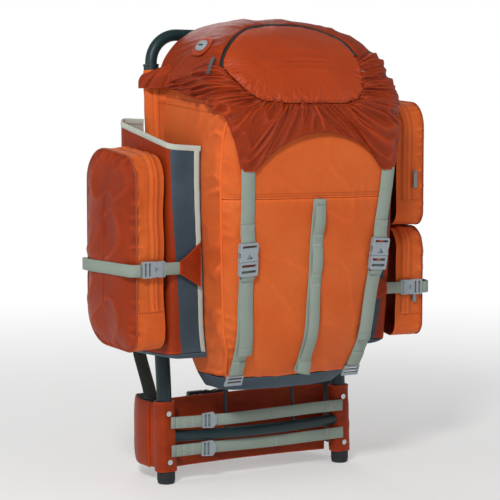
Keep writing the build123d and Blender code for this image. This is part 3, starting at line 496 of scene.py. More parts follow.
def stitchPiece(name, paths, facing, material, body="pack", pitch=4.6, thick=0.45):
    # Rows of stitches: each one a short spindle of thread, three quarters of the pitch long
    spindle = gridFaces(3, 4, loop=True) + [(3, 2, 1, 0), (8, 9, 10, 11)]
    section = ((-1, 0), (0, 1), (1, 0), (0, -0.6))
    points, faces = [], []
    for path, out in zip(paths, [facing] * len(paths) if isinstance(facing, tuple) else facing):
        count = max(2, int(pathLength(path) / pitch))
        spots, away = resampleFacing(path, out, count * 4 + 1)
        for k in range(count):
            a, b, n = spots[k * 4], spots[k * 4 + 3], unit(away[k * 4 + 3])
            s = np.cross((b - a) / (np.linalg.norm(b - a) + 1e-9), n)
            first = len(points)
            for centre, grow in ((a, 0.3), ((a + b) / 2, 1.0), (b, 0.3)):
                points += [centre + s * x * thick * grow + n * (y * thick * grow) for x, y in section]
            faces += [tuple(first + corner for corner in face) for face in spindle]
    return place(meshPiece(name, points, faces, [material]), body)


def barTack(name, path, outward, width, body="pack", rows=5, gap=1.3):
    # A dense block of stitches across a strap, centred on the middle of the path given
    middle, face = path[len(path) // 2], np.broadcast_to(outward, path.shape)[len(path) // 2]
    run = unit(path[-1] - path[0])
    reach = np.cross(run, face) * width * 0.42
    starts = [middle + run * (k - rows / 2) * gap + face * 1.25 for k in range(rows)]
    lines = [np.array([start - reach, start, start + reach]) for start in starts]
    return stitchPiece(name, lines, [face] * rows, paleThread, body, pitch=2.4, thick=0.4)


def makeTree(grid):
    return BVHTree.FromPolygons([tuple(p) for p in grid.reshape(-1, 3)], gridFaces(*grid.shape[:2]))


def castOn(tree, starts, ways):
    # Where each ray meets a surface; where it misses, the nearest point of the surface
    found = []
    ways = np.broadcast_to(ways, np.shape(starts))
    for start, way in zip(starts, ways):
        spot = tree.ray_cast(Vector(start), Vector(way))[0]
        if spot is None:
            spot = tree.find_nearest(Vector(start))[0]
        found.append(np.array(spot))
    return np.array(found)


# The frame and the hardware keep their own shapes
buckles = [f"{spot}_buckle_{half}_{side}" for spot in ("front", "pocket") for half in ("female", "male")
           for side in sides]
finishes = {
    coatedTube: ["side_tube_left", "side_tube_right", "top_hoop", "cross_bar_lower", "cross_bars_upper",
                 "centre_rails"],
    blackAcetal: ["tube_reducers", "belt_buckle_female", "belt_buckle_male", "sternum_buckle_female",
                  "sternum_buckle_male"],
    blackRubber: ["foot_caps"],
    platedSteel: ["clevis_pins", "split_rings"],
    zincSlider: ["lid_zip_slider", "pocket_left_zip_slider", "pocket_right_upper_zip_slider",
                 "pocket_right_lower_zip_slider"],
    acetal: ["ladder_locks"] + buckles,
}
for finish, names in finishes.items():
    for name in names:
        mesh = nodes[name].data
        mesh.materials.clear()
        mesh.materials.append(finish)
print("hardware finished")

tubeRoute = [(12, -18), (170, -10), (400, 16), (704, 32)]  # height and Y of a side tube, foot to top
tubeHalf = 175  # from the middle to either side tube


def tubeY(z):
    return float(np.interp(z, *zip(*tubeRoute)))


def bowedFront(wide, front, fall, r, arcPoints, cornerPoints):
    # Half of a level section from the middle: a wide arc, then a corner that ends facing sideways
    big = (wide**2 + fall**2) / (2 * fall)
    cx, cy = wide - r, front + big - math.sqrt((big - r) ** 2 - (wide - r) ** 2)
    start = math.atan2(cx, front + big - cy)
    arc = [(big * math.sin(a), front + big - big * math.cos(a)) for a in np.linspace(0, start, arcPoints)]
    turn = np.linspace(start, math.pi / 2, cornerPoints)[1:]
    return arc + [(cx + r * math.sin(a), cy - r * math.cos(a)) for a in turn], cy


# The sewn bag
bag = {
    "sections": [  # height, half width, front at the middle, how far the front's ends fall back
        (165, 112, -126, 20), (185, 124, -150, 24), (240, 141, -186, 27), (325, 151, -205, 25),
        (405, 158, -214, 18), (520, 167, -227, 12), (600, 169, -229, 12), (645, 165, -218, 14),
        (672, 161, -206, 16), (690, 156, -198, 18),
    ],
    "frontCorner": 42, "rearCorner": 12, "rearGap": 16.5, "rearHollow": 20,
    "steps": (40, 24, 12, 40),  # points on the front arc, front corner, rear corner and back
    "frontSeam": ((224, 560), (-152, -197)),  # heights and Y of the piped seams beside the front panel
    "seamSlope": 0.134,  # how they lean above and below those heights
    "backSeam": ((165, 672), (106, 146)),  # heights and distances from the middle
    "bottomSeam": 190, "crossSeam": 487, "rim": 688, "mesh": 4.3,
}


def bagHalf(z, shrink=0.0):
    # Half of the bag's level section, from the middle of the front round to the middle of the back
    arcPoints, cornerPoints, rearPoints, backPoints = bag["steps"]
    wide, front, fall = throughRows(bag["sections"], z)
    wide, front = wide - shrink, front + shrink
    outline = bowedFront(wide, front, fall, bag["frontCorner"] - shrink, arcPoints, cornerPoints)[0]
    hollow, small = bag["rearHollow"], bag["rearCorner"]
    deep = (wide**2 + hollow**2) / (2 * hollow)
    middle = tubeY(z) - bag["rearGap"] - shrink - hollow + deep
    sy = middle - math.sqrt((deep + small) ** 2 - (wide - small) ** 2)
    turn = math.atan2(wide - small, middle - sy)
    for a in np.linspace(0, math.pi / 2 + turn, rearPoints):
        outline.append((wide - small + small * math.cos(a), sy + small * math.sin(a)))
    for a in np.linspace(turn, 0, backPoints)[1:]:
        outline.append((deep * math.sin(a), middle - deep * math.cos(a)))
    return np.array(outline)


def bagSplit(z):
    # That half section cut at its two seams, into front, side and back
    path = bagHalf(z)
    (low, high), seamYs = bag["frontSeam"]
    seamY = np.interp(z, (low, high), seamYs) + (max(0, low - z) - max(0, z - high)) * bag["seamSlope"]
    front, fall = throughRows(bag["sections"], z)[1:]
    seamY = max(seamY, front + fall + 5)
    k = int(np.argmax(path[:, 1] > seamY))
    t = (seamY - path[k - 1, 1]) / (path[k, 1] - path[k - 1, 1])
    seam = path[k - 1] + (path[k] - path[k - 1]) * t
    rear = np.arange(len(path)) >= sum(bag["steps"][:3])
    m = int(np.argmax(rear & (path[:, 0] < np.interp(z, *bag["backSeam"]))))
    return np.vstack([path[:k], seam]), np.vstack([seam, path[k:m]]), path[m - 1 :]


frontRows, sideRows, backRows = [], [], []
for z in np.arange(bag["bottomSeam"], bag["rim"] + 1, bag["mesh"]):
    front, side, back = bagSplit(z)
    frontRows.append(liftRow(resample(bothHalves(front), 85), z))
    sideRows.append(liftRow(resample(side, 52), z))
    backRows.append(liftRow(resample(np.vstack([back, (back[::-1] * (-1, 1))[1:]]), 61), z))
frontGrid, sideGrid, backGrid = np.array(frontRows), np.array(sideRows), np.array(backRows)

# Front: gathered along its side seams, with soft folds between them and a sunk seam across
left, right, low, high = borderDistances(frontGrid)
u, v = left, low
bump = np.zeros_like(u)
for edge, seed in ((left, 3), (right, 8)):
    gather = 3.0 * creases(v / 19 + edge / 90, edge / 60, seed) * fading(edge, 26, 1.3)
    bump += gather * np.clip(edge / 7, 0.12, 1)
bump += 1.6 * creases(v / 60 + u / 110, u / 70, 10) * growing(left, 20) * growing(right, 20)
bump += 1.5 * waviness(u / 90, v / 70, 12) * growing(left, 40) * growing(right, 40)
bump += 1.4 * creases(u / 34, v / 80, 5) * fading(low, 45)
cross = np.abs(frontGrid[:, :, 2] - bag["crossSeam"])
bump += -1.0 * fading(cross, 3.5) + puckers(cross, u, 1.0, 12, 9, 31)
frontGrid = moved(frontGrid, 3.2 * np.tanh((bump - 0.8) / 3.2))
splitRow = int(round((bag["crossSeam"] - bag["bottomSeam"]) / bag["mesh"]))
for name, rows in (("lower", slice(0, splitRow + 1)), ("upper", slice(splitRow, None))):
    clothPiece(f"front_panel_{name}", frontGrid[rows], orangeCloth, "orange_cloth", [f"front_panel_{name}"])

# Sides: deep folds from the front seam, shallow ones from the back, and drawn up under the lid
left, right, low, high = borderDistances(sideGrid)
u, v = left, low
sideShapes = {}
for (side, s), seed in zip(sides.items(), (11, 17)):
    slant = v / 24 + u / 150 + 0.3 * waviness(v / 60, u / 20, seed + 6)
    bump = 6.0 * creases(slant, u / 90, seed) * fading(left, 44)
    bump += 1.8 * creases(v / 30, u / 60, seed + 2) * fading(right, 22)
    top = np.clip((sideGrid[:, :, 2] - 540) / 60, 0, 1) * np.clip((690 - sideGrid[:, :, 2]) / 30, 0, 1)
    bump += top * 4.6 * creases((u * 0.8 + v) / 42, (v - u) / 110, seed + 3) * fading(left - 45, 40)
    bump += 1.2 * waviness(u / 60, v / 80, seed + 4)
    bump = 5.0 * np.tanh((bump - 0.8) / 5.0) * np.clip(left / 8, 0.12, 1) - 1.2 * fading(left, 4)
    sideShapes[side] = moved(sideGrid, bump)
    grid, stands = sideShapes[side] * (s, 1, 1), [f"side_panel_{side}"]
    clothPiece(f"side_panel_cloth_{side}", grid, orangeCloth, "orange_cloth", stands, flip=s < 0)

left, right, low, high = borderDistances(backGrid)
bump = puckers(left, low, 1.0, 18, 12, 41) + puckers(right, low, 1.0, 18, 12, 42)
bump += 1.2 * waviness(left / 80, low / 80, 44)
grid = moved(backGrid, np.minimum(bump - 0.5, 1.0))
clothPiece("back_panel_cloth", grid, orangeCloth, "orange_cloth", ["back_panel"])

# The slate bottom: a band under the seam that rolls in to a flat floor
floor = {"height": 165, "centre": (0, -78, 162), "sag": 3, "columns": 160}
bottomRows = []
for z in np.linspace(bag["bottomSeam"], floor["height"], 6):
    half = bagHalf(z)
    ring = np.vstack([half, (half[::-1] * (-1, 1))[1:-1], half[:1]])
    bottomRows.append(liftRow(resample(ring, floor["columns"] + 1)[:-1], z))
edge = bottomRows[-1]
for t in np.linspace(0.06, 0.98, 12):
    ring = edge * (1 - t) + np.array(floor["centre"]) * t
    ring[:, 2] = floor["height"] - floor["sag"] * math.sin(t * math.pi / 2)
    bottomRows.append(ring)
bottomGrid = np.array(bottomRows)
run = np.tile(np.linspace(0, 800, floor["columns"]), (len(bottomGrid), 1))
inset = alongColumns(bottomGrid)
bump = -np.abs(1.0 * waviness(run / 40, inset / 40, 51) * growing(inset, 10)) - 0.3
bottomGrid = moved(bottomGrid, bump, -1)
clothPiece("bottom_cloth", bottomGrid, slateCloth, "slate_cloth", ["bottom_panel"], loop=True, flip=True)

bagTree = makeTree(frontGrid)
for side, column in (("left", 0), ("right", -1)):
    seam = resample(frontGrid[:, column], 110) + (0, -0.2, 0)
    cordPiece(f"front_seam_piping_{side}", seam, 2.1, orangeCloth, "pack")
# two curved lines of stitching cross each side under the lid
for side, s in sides.items():
    lines = []
    for drop in (0, 12):
        rows = (np.linspace(632, 655, sideGrid.shape[1]) - drop - bag["bottomSeam"]) / bag["mesh"]
        row, column = rows.astype(int), np.arange(sideGrid.shape[1])
        share = (rows - row)[:, None]
        line = sideShapes[side][row, column] * (1 - share) + sideShapes[side][row + 1, column] * share
        lines.append((line + (0.9, 0, 0)) * (s, 1, 1))
    stitchPiece(f"side_top_stitching_{side}", lines, (s, 0, 0), orangeThread)
lines = [frontGrid[splitRow + k][3:-3] + (0, -0.5, 0) for k in (1, 2)]
stitchPiece("front_cross_seam_stitching", lines, (0, -1, 0), orangeThread)
print("bag made")


def settled(grid, held, recipe, loop=False, flip=False, loose=None):
    # Cloth simulation on a grid: held points stay, air swells the rest, and loose cloth ruffles
    trial = gridPiece("cloth trial", grid, [], loop, flip)
    room = bpy.data.scenes.new("cloth trial")
    bpy.context.scene.collection.objects.unlink(trial)
    room.collection.objects.link(trial)
    pins = trial.vertex_groups.new(name="held")
    pins.add([int(i) for i in np.flatnonzero(held.ravel())], 1.0, "REPLACE")
    easing = trial.vertex_groups.new(name="loose")
    steps = np.round(np.clip(loose, 0, 1).ravel() * 6) / 6
    for level in np.unique(steps[steps > 0]):
        easing.add([int(i) for i in np.flatnonzero(steps == level)], float(level), "REPLACE")
    cloth = trial.modifiers.new("cloth", "CLOTH")
    fabric = {
        "vertex_group_mass": "held", "vertex_group_shrink": "loose", "shrink_max": -recipe["ease"],
        "quality": 5, "mass": 0.15, "tension_stiffness": 15, "compression_stiffness": 15,
        "shear_stiffness": 5, "bending_stiffness": recipe["bending"],
        "use_pressure": True, "uniform_pressure_force": recipe["pressure"],
    }
    for key, value in fabric.items():
        setattr(cloth.settings, key, value)
    cloth.settings.effector_weights.gravity = 0
    cloth.collision_settings.use_collision = False
    cloth.point_cache.frame_end = recipe["frames"]
    for step in range(1, recipe["frames"] + 1):
        room.frame_set(step)
    shaped = trial.evaluated_get(room.view_layers[0].depsgraph).data
    spots = np.empty(len(shaped.vertices) * 3)
    shaped.vertices.foreach_get("co", spots)
    bpy.data.objects.remove(trial)
    bpy.data.scenes.remove(room)
    drift = spots.reshape(grid.shape) / mm - grid
    size = np.linalg.norm(drift, axis=2, keepdims=True) + 1e-6
    drift = drift * recipe["cap"] * np.tanh(size / recipe["cap"]) / size
    print("cloth settled: moved up to", round(float(np.abs(drift).max()), 1), "mm")
    return grid + drift


# The lid: a gathered skirt, a padded dome in ripstop on it, and a dark zip over the crown
lid = {
    "sections": [  # height, half width, front at the middle, how far its ends fall back, corner
        (525, 173, -233, 12, 42), (600, 175, -236, 12, 42), (640, 175, -227, 14, 44),
        (685, 172, -213, 16, 48), (725, 155, -190, 18, 50), (755, 122, -155, 18, 45),
        (772, 85, -120, 14, 35), (779, 55, -95, 10, 25),
    ],
    "crown": 779, "rear": 11, "tip": 531, "tipFrom": 121, "tipTo": 147, "arch": 592, "middle": (0, -70, 640),
    "seam": [
        (-157, -182, 697), (-151, -196, 684), (-140, -206, 670), (-127, -216, 655), (-104, -222, 643),
        (-60, -227, 639), (0, -229, 640), (48, -227, 639), (76, -222, 647), (88, -215, 662), (93, -207, 685),
        (91, -190, 718),
    ],
    "zip": [
        (82, -172, 738), (69, -157, 750), (44, -140, 762), (12, -129, 768), (-35, -127, 769),
        (-80, -134, 762), (-110, -148, 748), (-138, -165, 726), (-154, -177, 706),
    ],
    "seamColumns": 300, "zipColumns": 141, "face": (-25.0, -216, 712), "faceFrom": -85, "faceTo": 35,
}


def lidHalf(z):
    # Half of the lid's level section, from the middle of the front back along its side
    wide, front, fall, corner = throughRows(lid["sections"], z)
    outline, sideFrom = bowedFront(wide, front, fall, corner, 30, 20)
    return np.array(outline + [(wide, y) for y in np.linspace(sideFrom, lid["rear"], 20)[1:]])


# A plain base surface that the lid's panels are laid out on
baseRows = []
for z in np.concatenate([np.arange(520, 772, 6), np.linspace(772, lid["crown"], 6)]):
    baseRows.append(liftRow(bothHalves(resample(lidHalf(z), 90)), z))
topRim = baseRows[-1]
for t in np.linspace(0.1, 1.0, 10):
    ring = topRim * (1 - t)
    ring[:, 1] += lid["rear"] * t
    ring[:, 2] = lid["crown"] + 2.0 * math.sin(t * math.pi / 2)
    baseRows.append(ring)
lidTree = makeTree(np.array(baseRows))
lidMiddle = np.array(lid["middle"], float)


def ontoLid(points):
    return castOn(lidTree, np.broadcast_to(lidMiddle, np.shape(points)), points - lidMiddle)


arch = lid["arch"] - lid["tip"]
archRadius = (lid["tipFrom"] ** 2 + arch**2) / (2 * arch)
xs = np.linspace(0, lid["tipFrom"], 24)
hem = [(x, lid["arch"] - archRadius + math.sqrt(archRadius**2 - x * x)) for x in xs]
hem += [(x, lid["tip"]) for x in np.linspace(lid["tipFrom"] + 4, lid["tipTo"] - 2, 5)]
hem += [(lid["tipTo"] + 22 * t, lid["tip"] + 92 * t**0.9) for t in np.linspace(0.06, 1, 14)]
front = castOn(lidTree, [(x, -400, z) for x, z in hem], (0, 1, 0))
side = [(300, y, np.interp(y, (-178, -160, 11), (628, 641, 672))) for y in np.linspace(-176, lid["rear"], 26)]
right = np.vstack([front, castOn(lidTree, side, (-1, 0, 0))])
hemLine = np.vstack([(right * (-1, 1, 1))[::-1][:-1], right])
rearEdge = [(throughRows(lid["sections"], z)[0], lid["rear"], z) for z in np.linspace(680, 778, 20)]
rearEdge = np.array(rearEdge + [(x, lid["rear"], 780) for x in (40, 20, 0)])
rearEdge = np.vstack([rearEdge, (rearEdge * (-1, 1, 1))[::-1][1:]])
seamColumns, zipColumns = lid["seamColumns"], lid["zipColumns"]
seam, zipLine = ontoLid(resample(lid["seam"], 90)), ontoLid(resample(lid["zip"], 70))
domeLoop = resample(np.vstack([seam, zipLine, seam[:1]]), 900)[:-1]
cut = int(np.argmin(np.linalg.norm(domeLoop - seam[-1], axis=1)))
domeSeam = resample(domeLoop[: cut + 1], seamColumns)
domeZip = resample(np.vstack([domeLoop[cut:], domeLoop[:1]]), zipColumns)
inner = np.vstack([domeSeam[:-1], domeZip[:-1]])
outer = np.vstack([resample(hemLine, seamColumns)[:-1], resample(rearEdge, zipColumns)[:-1]])
skirtRows = [ontoLid(outer * (1 - t) + inner * t) for t in np.linspace(0, 1, 44)[1:-1]]
skirtGrid = np.array([outer] + skirtRows + [inner])
rows, columns = skirtGrid.shape[:2]
span = alongColumns(skirtGrid)
low, high = span, span[-1:] - span
run, hemRun = [np.tile(distanceAlong(skirtGrid[row]), (rows, 1)) for row in (10, 0)]
share = np.arange(columns) / (seamColumns - 1)  # 0 to 1 along the hem, more than 1 behind the zip
onHem = (share <= 1).astype(float)
elastic = np.clip((np.abs(share * 2 - 1) - 0.36) / 0.16, 0, 1) * onHem  # 1 where it gathers the hem
across = np.sign(share - 0.5)[None, :] * np.ones_like(span)
ruche = creases(hemRun / 17 + 0.5 * waviness(hemRun / 60, low / 30, 58), low / 70, 61)
folds = creases(run / 38 + across * span / 120 + 0.4 * waviness(run / 60, span / 50, 59), span / 260, 62)
fine = creases(run / 15 + across * span / 60, span / 60, 63)
bump = elastic * 6.2 * ruche * fading(low, 52)
bump += 6.6 * folds * growing(low, 25) * growing(high, 12) * (0.35 + 0.65 * onHem)
bump += 3.0 * fine * growing(low, 12) * growing(high, 8) * (0.3 + 0.7 * onHem)
bump += 2.6 * creases(run / 11, high / 40, 64) * fading(high, 20) * onHem
bump += -2.2 * fading(high, 4.5) + 1.2 * fading(low - 5, 5)
flatRear = np.clip((lid["rear"] + 3 - skirtGrid[:, :, 1]) / 45, 0, 1)  # flat where the lid meets the hoop
skirtGrid = moved(skirtGrid, 7.5 * np.tanh(bump / 7.5) * flatRear)
thin = {"loop": True, "thickness": 1.0}
clothPiece("lid_skirt_cloth", skirtGrid, rustCloth, "rust_cloth", ["lid_skirt"], "lid", **thin)

middle = ontoLid(np.array([lid["face"]]))[0]
inner = skirtGrid[-1]
target = np.tile(middle, (columns, 1))
target[:, 0] = np.clip(inner[:, 0], lid["faceFrom"], lid["faceTo"])
domeRows = [ontoLid(inner * (1 - t) + target * t) for t in np.linspace(0.03, 0.97, 26)]
domeGrid = np.array([inner] + domeRows)
inset = alongColumns(domeGrid)
held = np.zeros(domeGrid.shape[:2])
held[0] = 1
foot = onHem * np.clip(np.minimum(share * 12, (1 - share) * 12), 0, 1)
loose = fading(inset, 26) * foot[None, :] * (held == 0)
recipe = {"pressure": 2.2, "ease": 0.07, "cap": 6.0, "bending": 0.2, "frames": 16}
domeGrid = settled(domeGrid, held, recipe, loop=True, loose=loose)
run = np.tile(distanceAlong(domeGrid[0]), (len(domeGrid), 1))
bump = 2.8 * creases(run / 12, inset / 30, 71) * fading(inset, 17) * (0.2 + 0.8 * foot) * growing(inset, 3)
bump += 1.3 * creases(domeGrid[:, :, 0] / 70 + 9, domeGrid[:, :, 2] / 44, 75) * growing(inset, 30)
bump += 2.5 * growing(inset, 45) - 0.9 * fading(inset, 4)
domeGrid = moved(domeGrid, bump)
for row in range(-5, 0):  # the rings close on a seamless crown
    ring, before = domeGrid[row, :, 1:], domeGrid[row - 1, :, 1:]
    domeGrid[row, :, 1:] = ring * 0.5 + before * 0.25 + ring.mean(axis=0) * 0.25
faces = gridFaces(len(domeGrid), columns, loop=True)
faces += stripCap((len(domeGrid) - 1) * columns, columns, start=int(np.argmin(domeGrid[-1, :, 0])))
flat = domeGrid[:, :, 0], domeGrid[:, :, 2] + domeGrid[:, :, 1]
dome = meshPiece("lid_dome_cloth", domeGrid, faces, [rustRipstop], flat)
place(thicken(dome, 1.0), "lid", ["lid_pocket_cover"])

# Seams, the zip and a rubber cable port
for name, grid, seamRows in (("dome", domeGrid, (1, 2)), ("hem", skirtGrid, (2, -3))):
    normals = gridNormals(grid)
    normals[:, 0], normals[:, -1] = normals[:, 1], normals[:, -2]
    facing = [normals[r, 2 : seamColumns - 2] for r in seamRows]
    lines = [grid[r, 2 : seamColumns - 2] + away * 0.45 for r, away in zip(seamRows, facing)]
    stitchPiece(f"lid_{name}_stitching", lines, facing, rustThread, "lid")
zipRoute = np.vstack([skirtGrid[-1, seamColumns - 1 :], skirtGrid[-1, :1]])
facing = np.vstack([normals[-2, seamColumns - 1 :], normals[-2, :1]])
ribbonPiece("lid_zip_tape", zipRoute + facing * 0.9, facing, 9, 0.9, blackTape, "lid", "slate_cloth")
coil = resample(zipRoute + facing * 1.7, 160)
cordPiece("lid_zip_coil", coil, 1.3, blackAcetal, "lid")
port = {
    "centre": (-151.5, -110, 730), "along": (0.31, -0.88, -0.35), "columns": 48,
    "layers": [  # name, half length and width, height over the lid, thickness, material and slot
        ("lid_port_patch", (26, 19), 2.4, 1.2, rustCloth, "rust_cloth"),
        ("lid_port", (15, 10), 3.4, 3.2, greyRubber, "black_plastic"),
        ("lid_port_slit", (9, 1.6), 6.2, 0.8, blackRubber, "black_plastic"),
    ],
}
spot, away = [np.array(found) for found in lidTree.find_nearest(Vector(port["centre"]))[:2]]
away = away * np.sign(away @ (spot - lidMiddle))
along = unit(np.array(port["along"]) - away * (np.array(port["along"]) @ away))
beside = np.cross(away, along)
turn = np.linspace(0, 2 * math.pi, port["columns"], endpoint=False)
c, d = np.cos(turn), np.sin(turn)
for name, half, lift, rise, material, slot in port["layers"]:
    rim = np.stack([half[0] * np.sign(c) * np.abs(c) ** 0.7, half[1] * np.sign(d) * np.abs(d) ** 0.7], axis=1)
    rings = [(1.0, 0), (1.0, rise * 0.7), (0.9, rise), (0.5, rise * 1.05), (0.06, rise * 1.05)]
    grid = [spot + rim[:, :1] * f * along + rim[:, 1:] * f * beside + away * (lift + h) for f, h in rings]
    faces = gridFaces(5, port["columns"], loop=True) + stripCap(4 * port["columns"], port["columns"])
    flat = np.tile(rim[:, 0], (5, 1)), np.tile(rim[:, 1], (5, 1))
    place(meshPiece(name, grid, faces, [material], flat), "lid")
print("lid made")


def bindingPiece(name, edge, inward, outward):
    # A tape folded over a cloth edge: down one face, over the edge and down the other
    width, wall, thick = sleeve["binding"], 2.4, 0.9
    profile = [(width, thick), (width / 2, thick + 0.3), (0.5, thick), (-thick, 0.2), (-thick, -wall - 0.2),
               (0.5, -wall - thick), (width / 2, -wall - thick - 0.3), (width, -wall - thick)]
    rings = np.stack([edge + unit(inward) * a + unit(outward) * b for a, b in profile], axis=1)
    run = np.tile(distanceAlong(np.array(profile)), (len(edge), 1))
    piece = meshPiece(name, rings, gridFaces(*rings.shape[:2]), [paleBinding], (run, alongColumns(rings)))
    place(thicken(piece, 0.7), "pack")


# Cloth round the side tubes, with a web that joins each one to the bag
wrap = {"from": 232, "to": 697, "rows": 5.0, "radius": 13.6, "columns": 40}
turn = np.linspace(0, 2 * math.pi, wrap["columns"], endpoint=False)
heights = np.arange(wrap["from"], wrap["to"] + 1, wrap["rows"])
middle = np.array([tubeY(z) for z in heights])[:, None]
around, up = np.tile(turn * 14, (len(heights), 1)), np.tile(heights[:, None], (1, len(turn)))
crease = 0.5 * waviness(around / 9 + up / 60, up / 26, 81) + 0.25 * waviness(around / 5, up / 12, 82)
radius = wrap["radius"] + np.clip(crease, -0.3, 0.9)
reach = np.linspace(0, 1, 7)
for side, s in sides.items():
    grid = np.stack([s * tubeHalf + radius * np.cos(turn), middle + radius * np.sin(turn), up], axis=2)
    thin = {"loop": True, "thickness": 0.8}
    clothPiece(f"tube_wrap_{side}", grid, orangeCloth, "orange_cloth", ["frame_flanges"], **thin)
    rows = []
    for z in heights:
        half = bagHalf(z)
        offCorner = np.abs(half[:, 0] - 158 * (half[:, 1] > -60)) + np.abs(half[:, 1] - tubeY(z) + 26)
        corner = half[np.argmin(offCorner)] - (7, 3)
        outer = np.array([tubeHalf + 4, tubeY(z) - wrap["radius"] - 0.4])
        rows.append(liftRow((corner + (outer - corner) * reach[:, None]) * (s, 1), z))
    web = np.array(rows)
    web = moved(web, 0.8 * waviness(alongRows(web) / 9, alongColumns(web) / 30, 83) * reach[None, :] ** 0.5)
    clothPiece(f"tube_web_{side}", web, orangeCloth, "orange_cloth", flip=s < 0, offset=0, smooth=False)
    down = web[:, 4] + np.array([s * 1.2, -1.2, 0])
    stitchPiece(f"tube_web_stitching_{side}", [down], (s * 0.7, -0.7, 0), orangeThread)
print("tube wraps made")

# Wand sleeves: open pockets between the bag and the side pockets
sleeve = {
    "low": (232, [(130, -98), (212, -108), (233, 10), (220, 24), (175, 4)]),  # height, plan's corners
    "high": (640, [(150, -152), (222, -126), (240, 18), (226, 40), (175, 34)]),
    "rims": {"left": (567, 613), "right": (600, 628)},  # heights of the rim at the front and the rear
    "wall": 1.6, "columns": 90, "rows": 58, "slate": 46, "binding": 8.5,
}


def sleeveRun(z):
    # The sleeve's level section: the part of its plan that is clear of the bag and the side tube
    low, high = sleeve["low"], sleeve["high"]
    t = (z - low[0]) / (high[0] - low[0])
    corners = [np.array(a) * (1 - t) + np.array(b) * t for a, b in zip(low[1], high[1])]
    path = resample(roundedPath(corners, (12, 12, 8), 8), 400)
    half = bagHalf(z, -0.8)
    ring = np.vstack([half, [[0, half[-1, 1]], [0, half[0, 1]]]])
    x, y = path.T
    inside = np.zeros(len(path), bool)
    for (ax, ay), (bx, by) in zip(ring, np.roll(ring, -1, axis=0)):
        if ay != by:
            inside ^= ((ay > y) != (by > y)) & (x < (bx - ax) * (y - ay) / (by - ay) + ax)
    nearTube = np.hypot(x - tubeHalf, y - tubeY(z)) < wrap["radius"] + 1.6
    clear = np.flatnonzero(~inside & ~nearTube)
    runs = np.split(clear, np.flatnonzero(np.diff(clear) > 1) + 1)
    return resample(path[max(runs, key=len)], sleeve["columns"])


levels = np.linspace(sleeve["low"][0], sleeve["high"][0], 35)
book = np.array([sleeveRun(z) for z in levels])
for side, s in sides.items():
    frontRim, rearRim = sleeve["rims"][side]
    rows = []
    for t in np.linspace(0, 1, sleeve["rows"]):
        heights = np.full(sleeve["columns"], float(levels[0]))
        for again in range(4):  # the rim slopes, so each column's height depends on how far back it is
            spots = [[np.interp(z, levels, book[:, c, k]) for k in (0, 1)] for c, z in enumerate(heights)]
            rim = frontRim + (rearRim - frontRim) * (np.array(spots)[:, 1] + 150) / 180
            heights = levels[0] + t * (rim - levels[0])
        rows.append(np.hstack([spots, heights[:, None]]))
    grid = np.array(rows)
    left, right, low, high = borderDistances(grid)
    bump = 1.6 * waviness(left / 55, low / 80, 91) * growing(left, 20) + puckers(left, low, 0.9, 16, 12, 92)
    bump += puckers(high, left, 0.8, 20, 16, 93) * growing(left, 15)
    bump = np.clip(bump, -2.0, 1.4) * growing(left, 8) * growing(right, 12)
    grid = moved(grid, bump) * (s, 1, 1)
    slateColumn = int(np.argmax(left[30] > sleeve["slate"]))
    piece = gridPiece(f"wand_sleeve_cloth_{side}", grid, [rustCloth, slateCloth], flip=s < 0)
    for face in piece.data.polygons:
        face.material_index = int(face.index % (sleeve["columns"] - 1) < slateColumn)
    place(thicken(piece, sleeve["wall"]), "pack", [f"wand_sleeve_{side}"])
    # the grey coated lining, a hair inside
    normal = gridNormals(grid) * s
    inner = grid - normal * (sleeve["wall"] + 0.2)
    lining = f"wand_sleeve_lining_{side}"
    clothPiece(lining, inner, liningCloth, "slate_cloth", flip=s < 0, thickness=0.5)
    # a sagging floor closes the foot
    foot = grid[0]
    chord = foot[0] + (foot[-1] - foot[0]) * np.linspace(0, 1, len(foot))[:, None]
    rows = []
    for t in np.linspace(0, 1, 12):
        sag = 9 * math.sin(math.pi * min(1, t * 1.2)) ** 0.7
        rows.append(foot * (1 - t) + chord * t - (0, 0, sag))
    bottom = f"wand_sleeve_floor_{side}"
    clothPiece(bottom, np.array(rows), slateCloth, "slate_cloth", flip=s < 0, offset=0)
    # pale tape bound over the rim and down the front edge
    bindingPiece(f"wand_sleeve_rim_binding_{side}", grid[-1], grid[-3] - grid[-1], normal[-1])
    bindingPiece(f"wand_sleeve_edge_binding_{side}", grid[:, 1], grid[:, 5] - grid[:, 1], normal[:, 4])
print("wand sleeves made")


# Side pockets: a gusset that stands off the sleeve, and a padded face that the straps press in
pockets = {  # side, then corners as distance behind the front edge, height and radius
    "pocket_left": (-1, [(0, 240, 24), (150, 250, 62), (150, 575, 52), (0, 552, 40)]),
    "pocket_right_upper": (1, [(0, 430, 24), (150, 432, 40), (150, 652, 50), (0, 641, 44)]),
    "pocket_right_lower": (1, [(0, 234, 24), (150, 242, 60), (150, 427, 44), (0, 425, 40)]),
}
gusset = {"depth": 52.4, "rings": 20, "columns": 260, "faceRings": 16, "crown": 13.5, "flap": 20}
pocketStraps = {"left": 375, "right": 322}  # heights of the compression straps
pocketFront = {"spot": (226, -116), "rearward": (17 / 149, 148 / 149)}  # plan of the pocket's base plane


def pocketPoint(s, rearward, height, outward):
    alongX, alongY = pocketFront["rearward"]
    x = s * pocketFront["spot"][0] + s * alongX * rearward + s * alongY * outward
    y = pocketFront["spot"][1] + alongY * rearward - alongX * outward
    return np.stack(np.broadcast_arrays(x, y, np.asarray(height, float)), axis=-1)


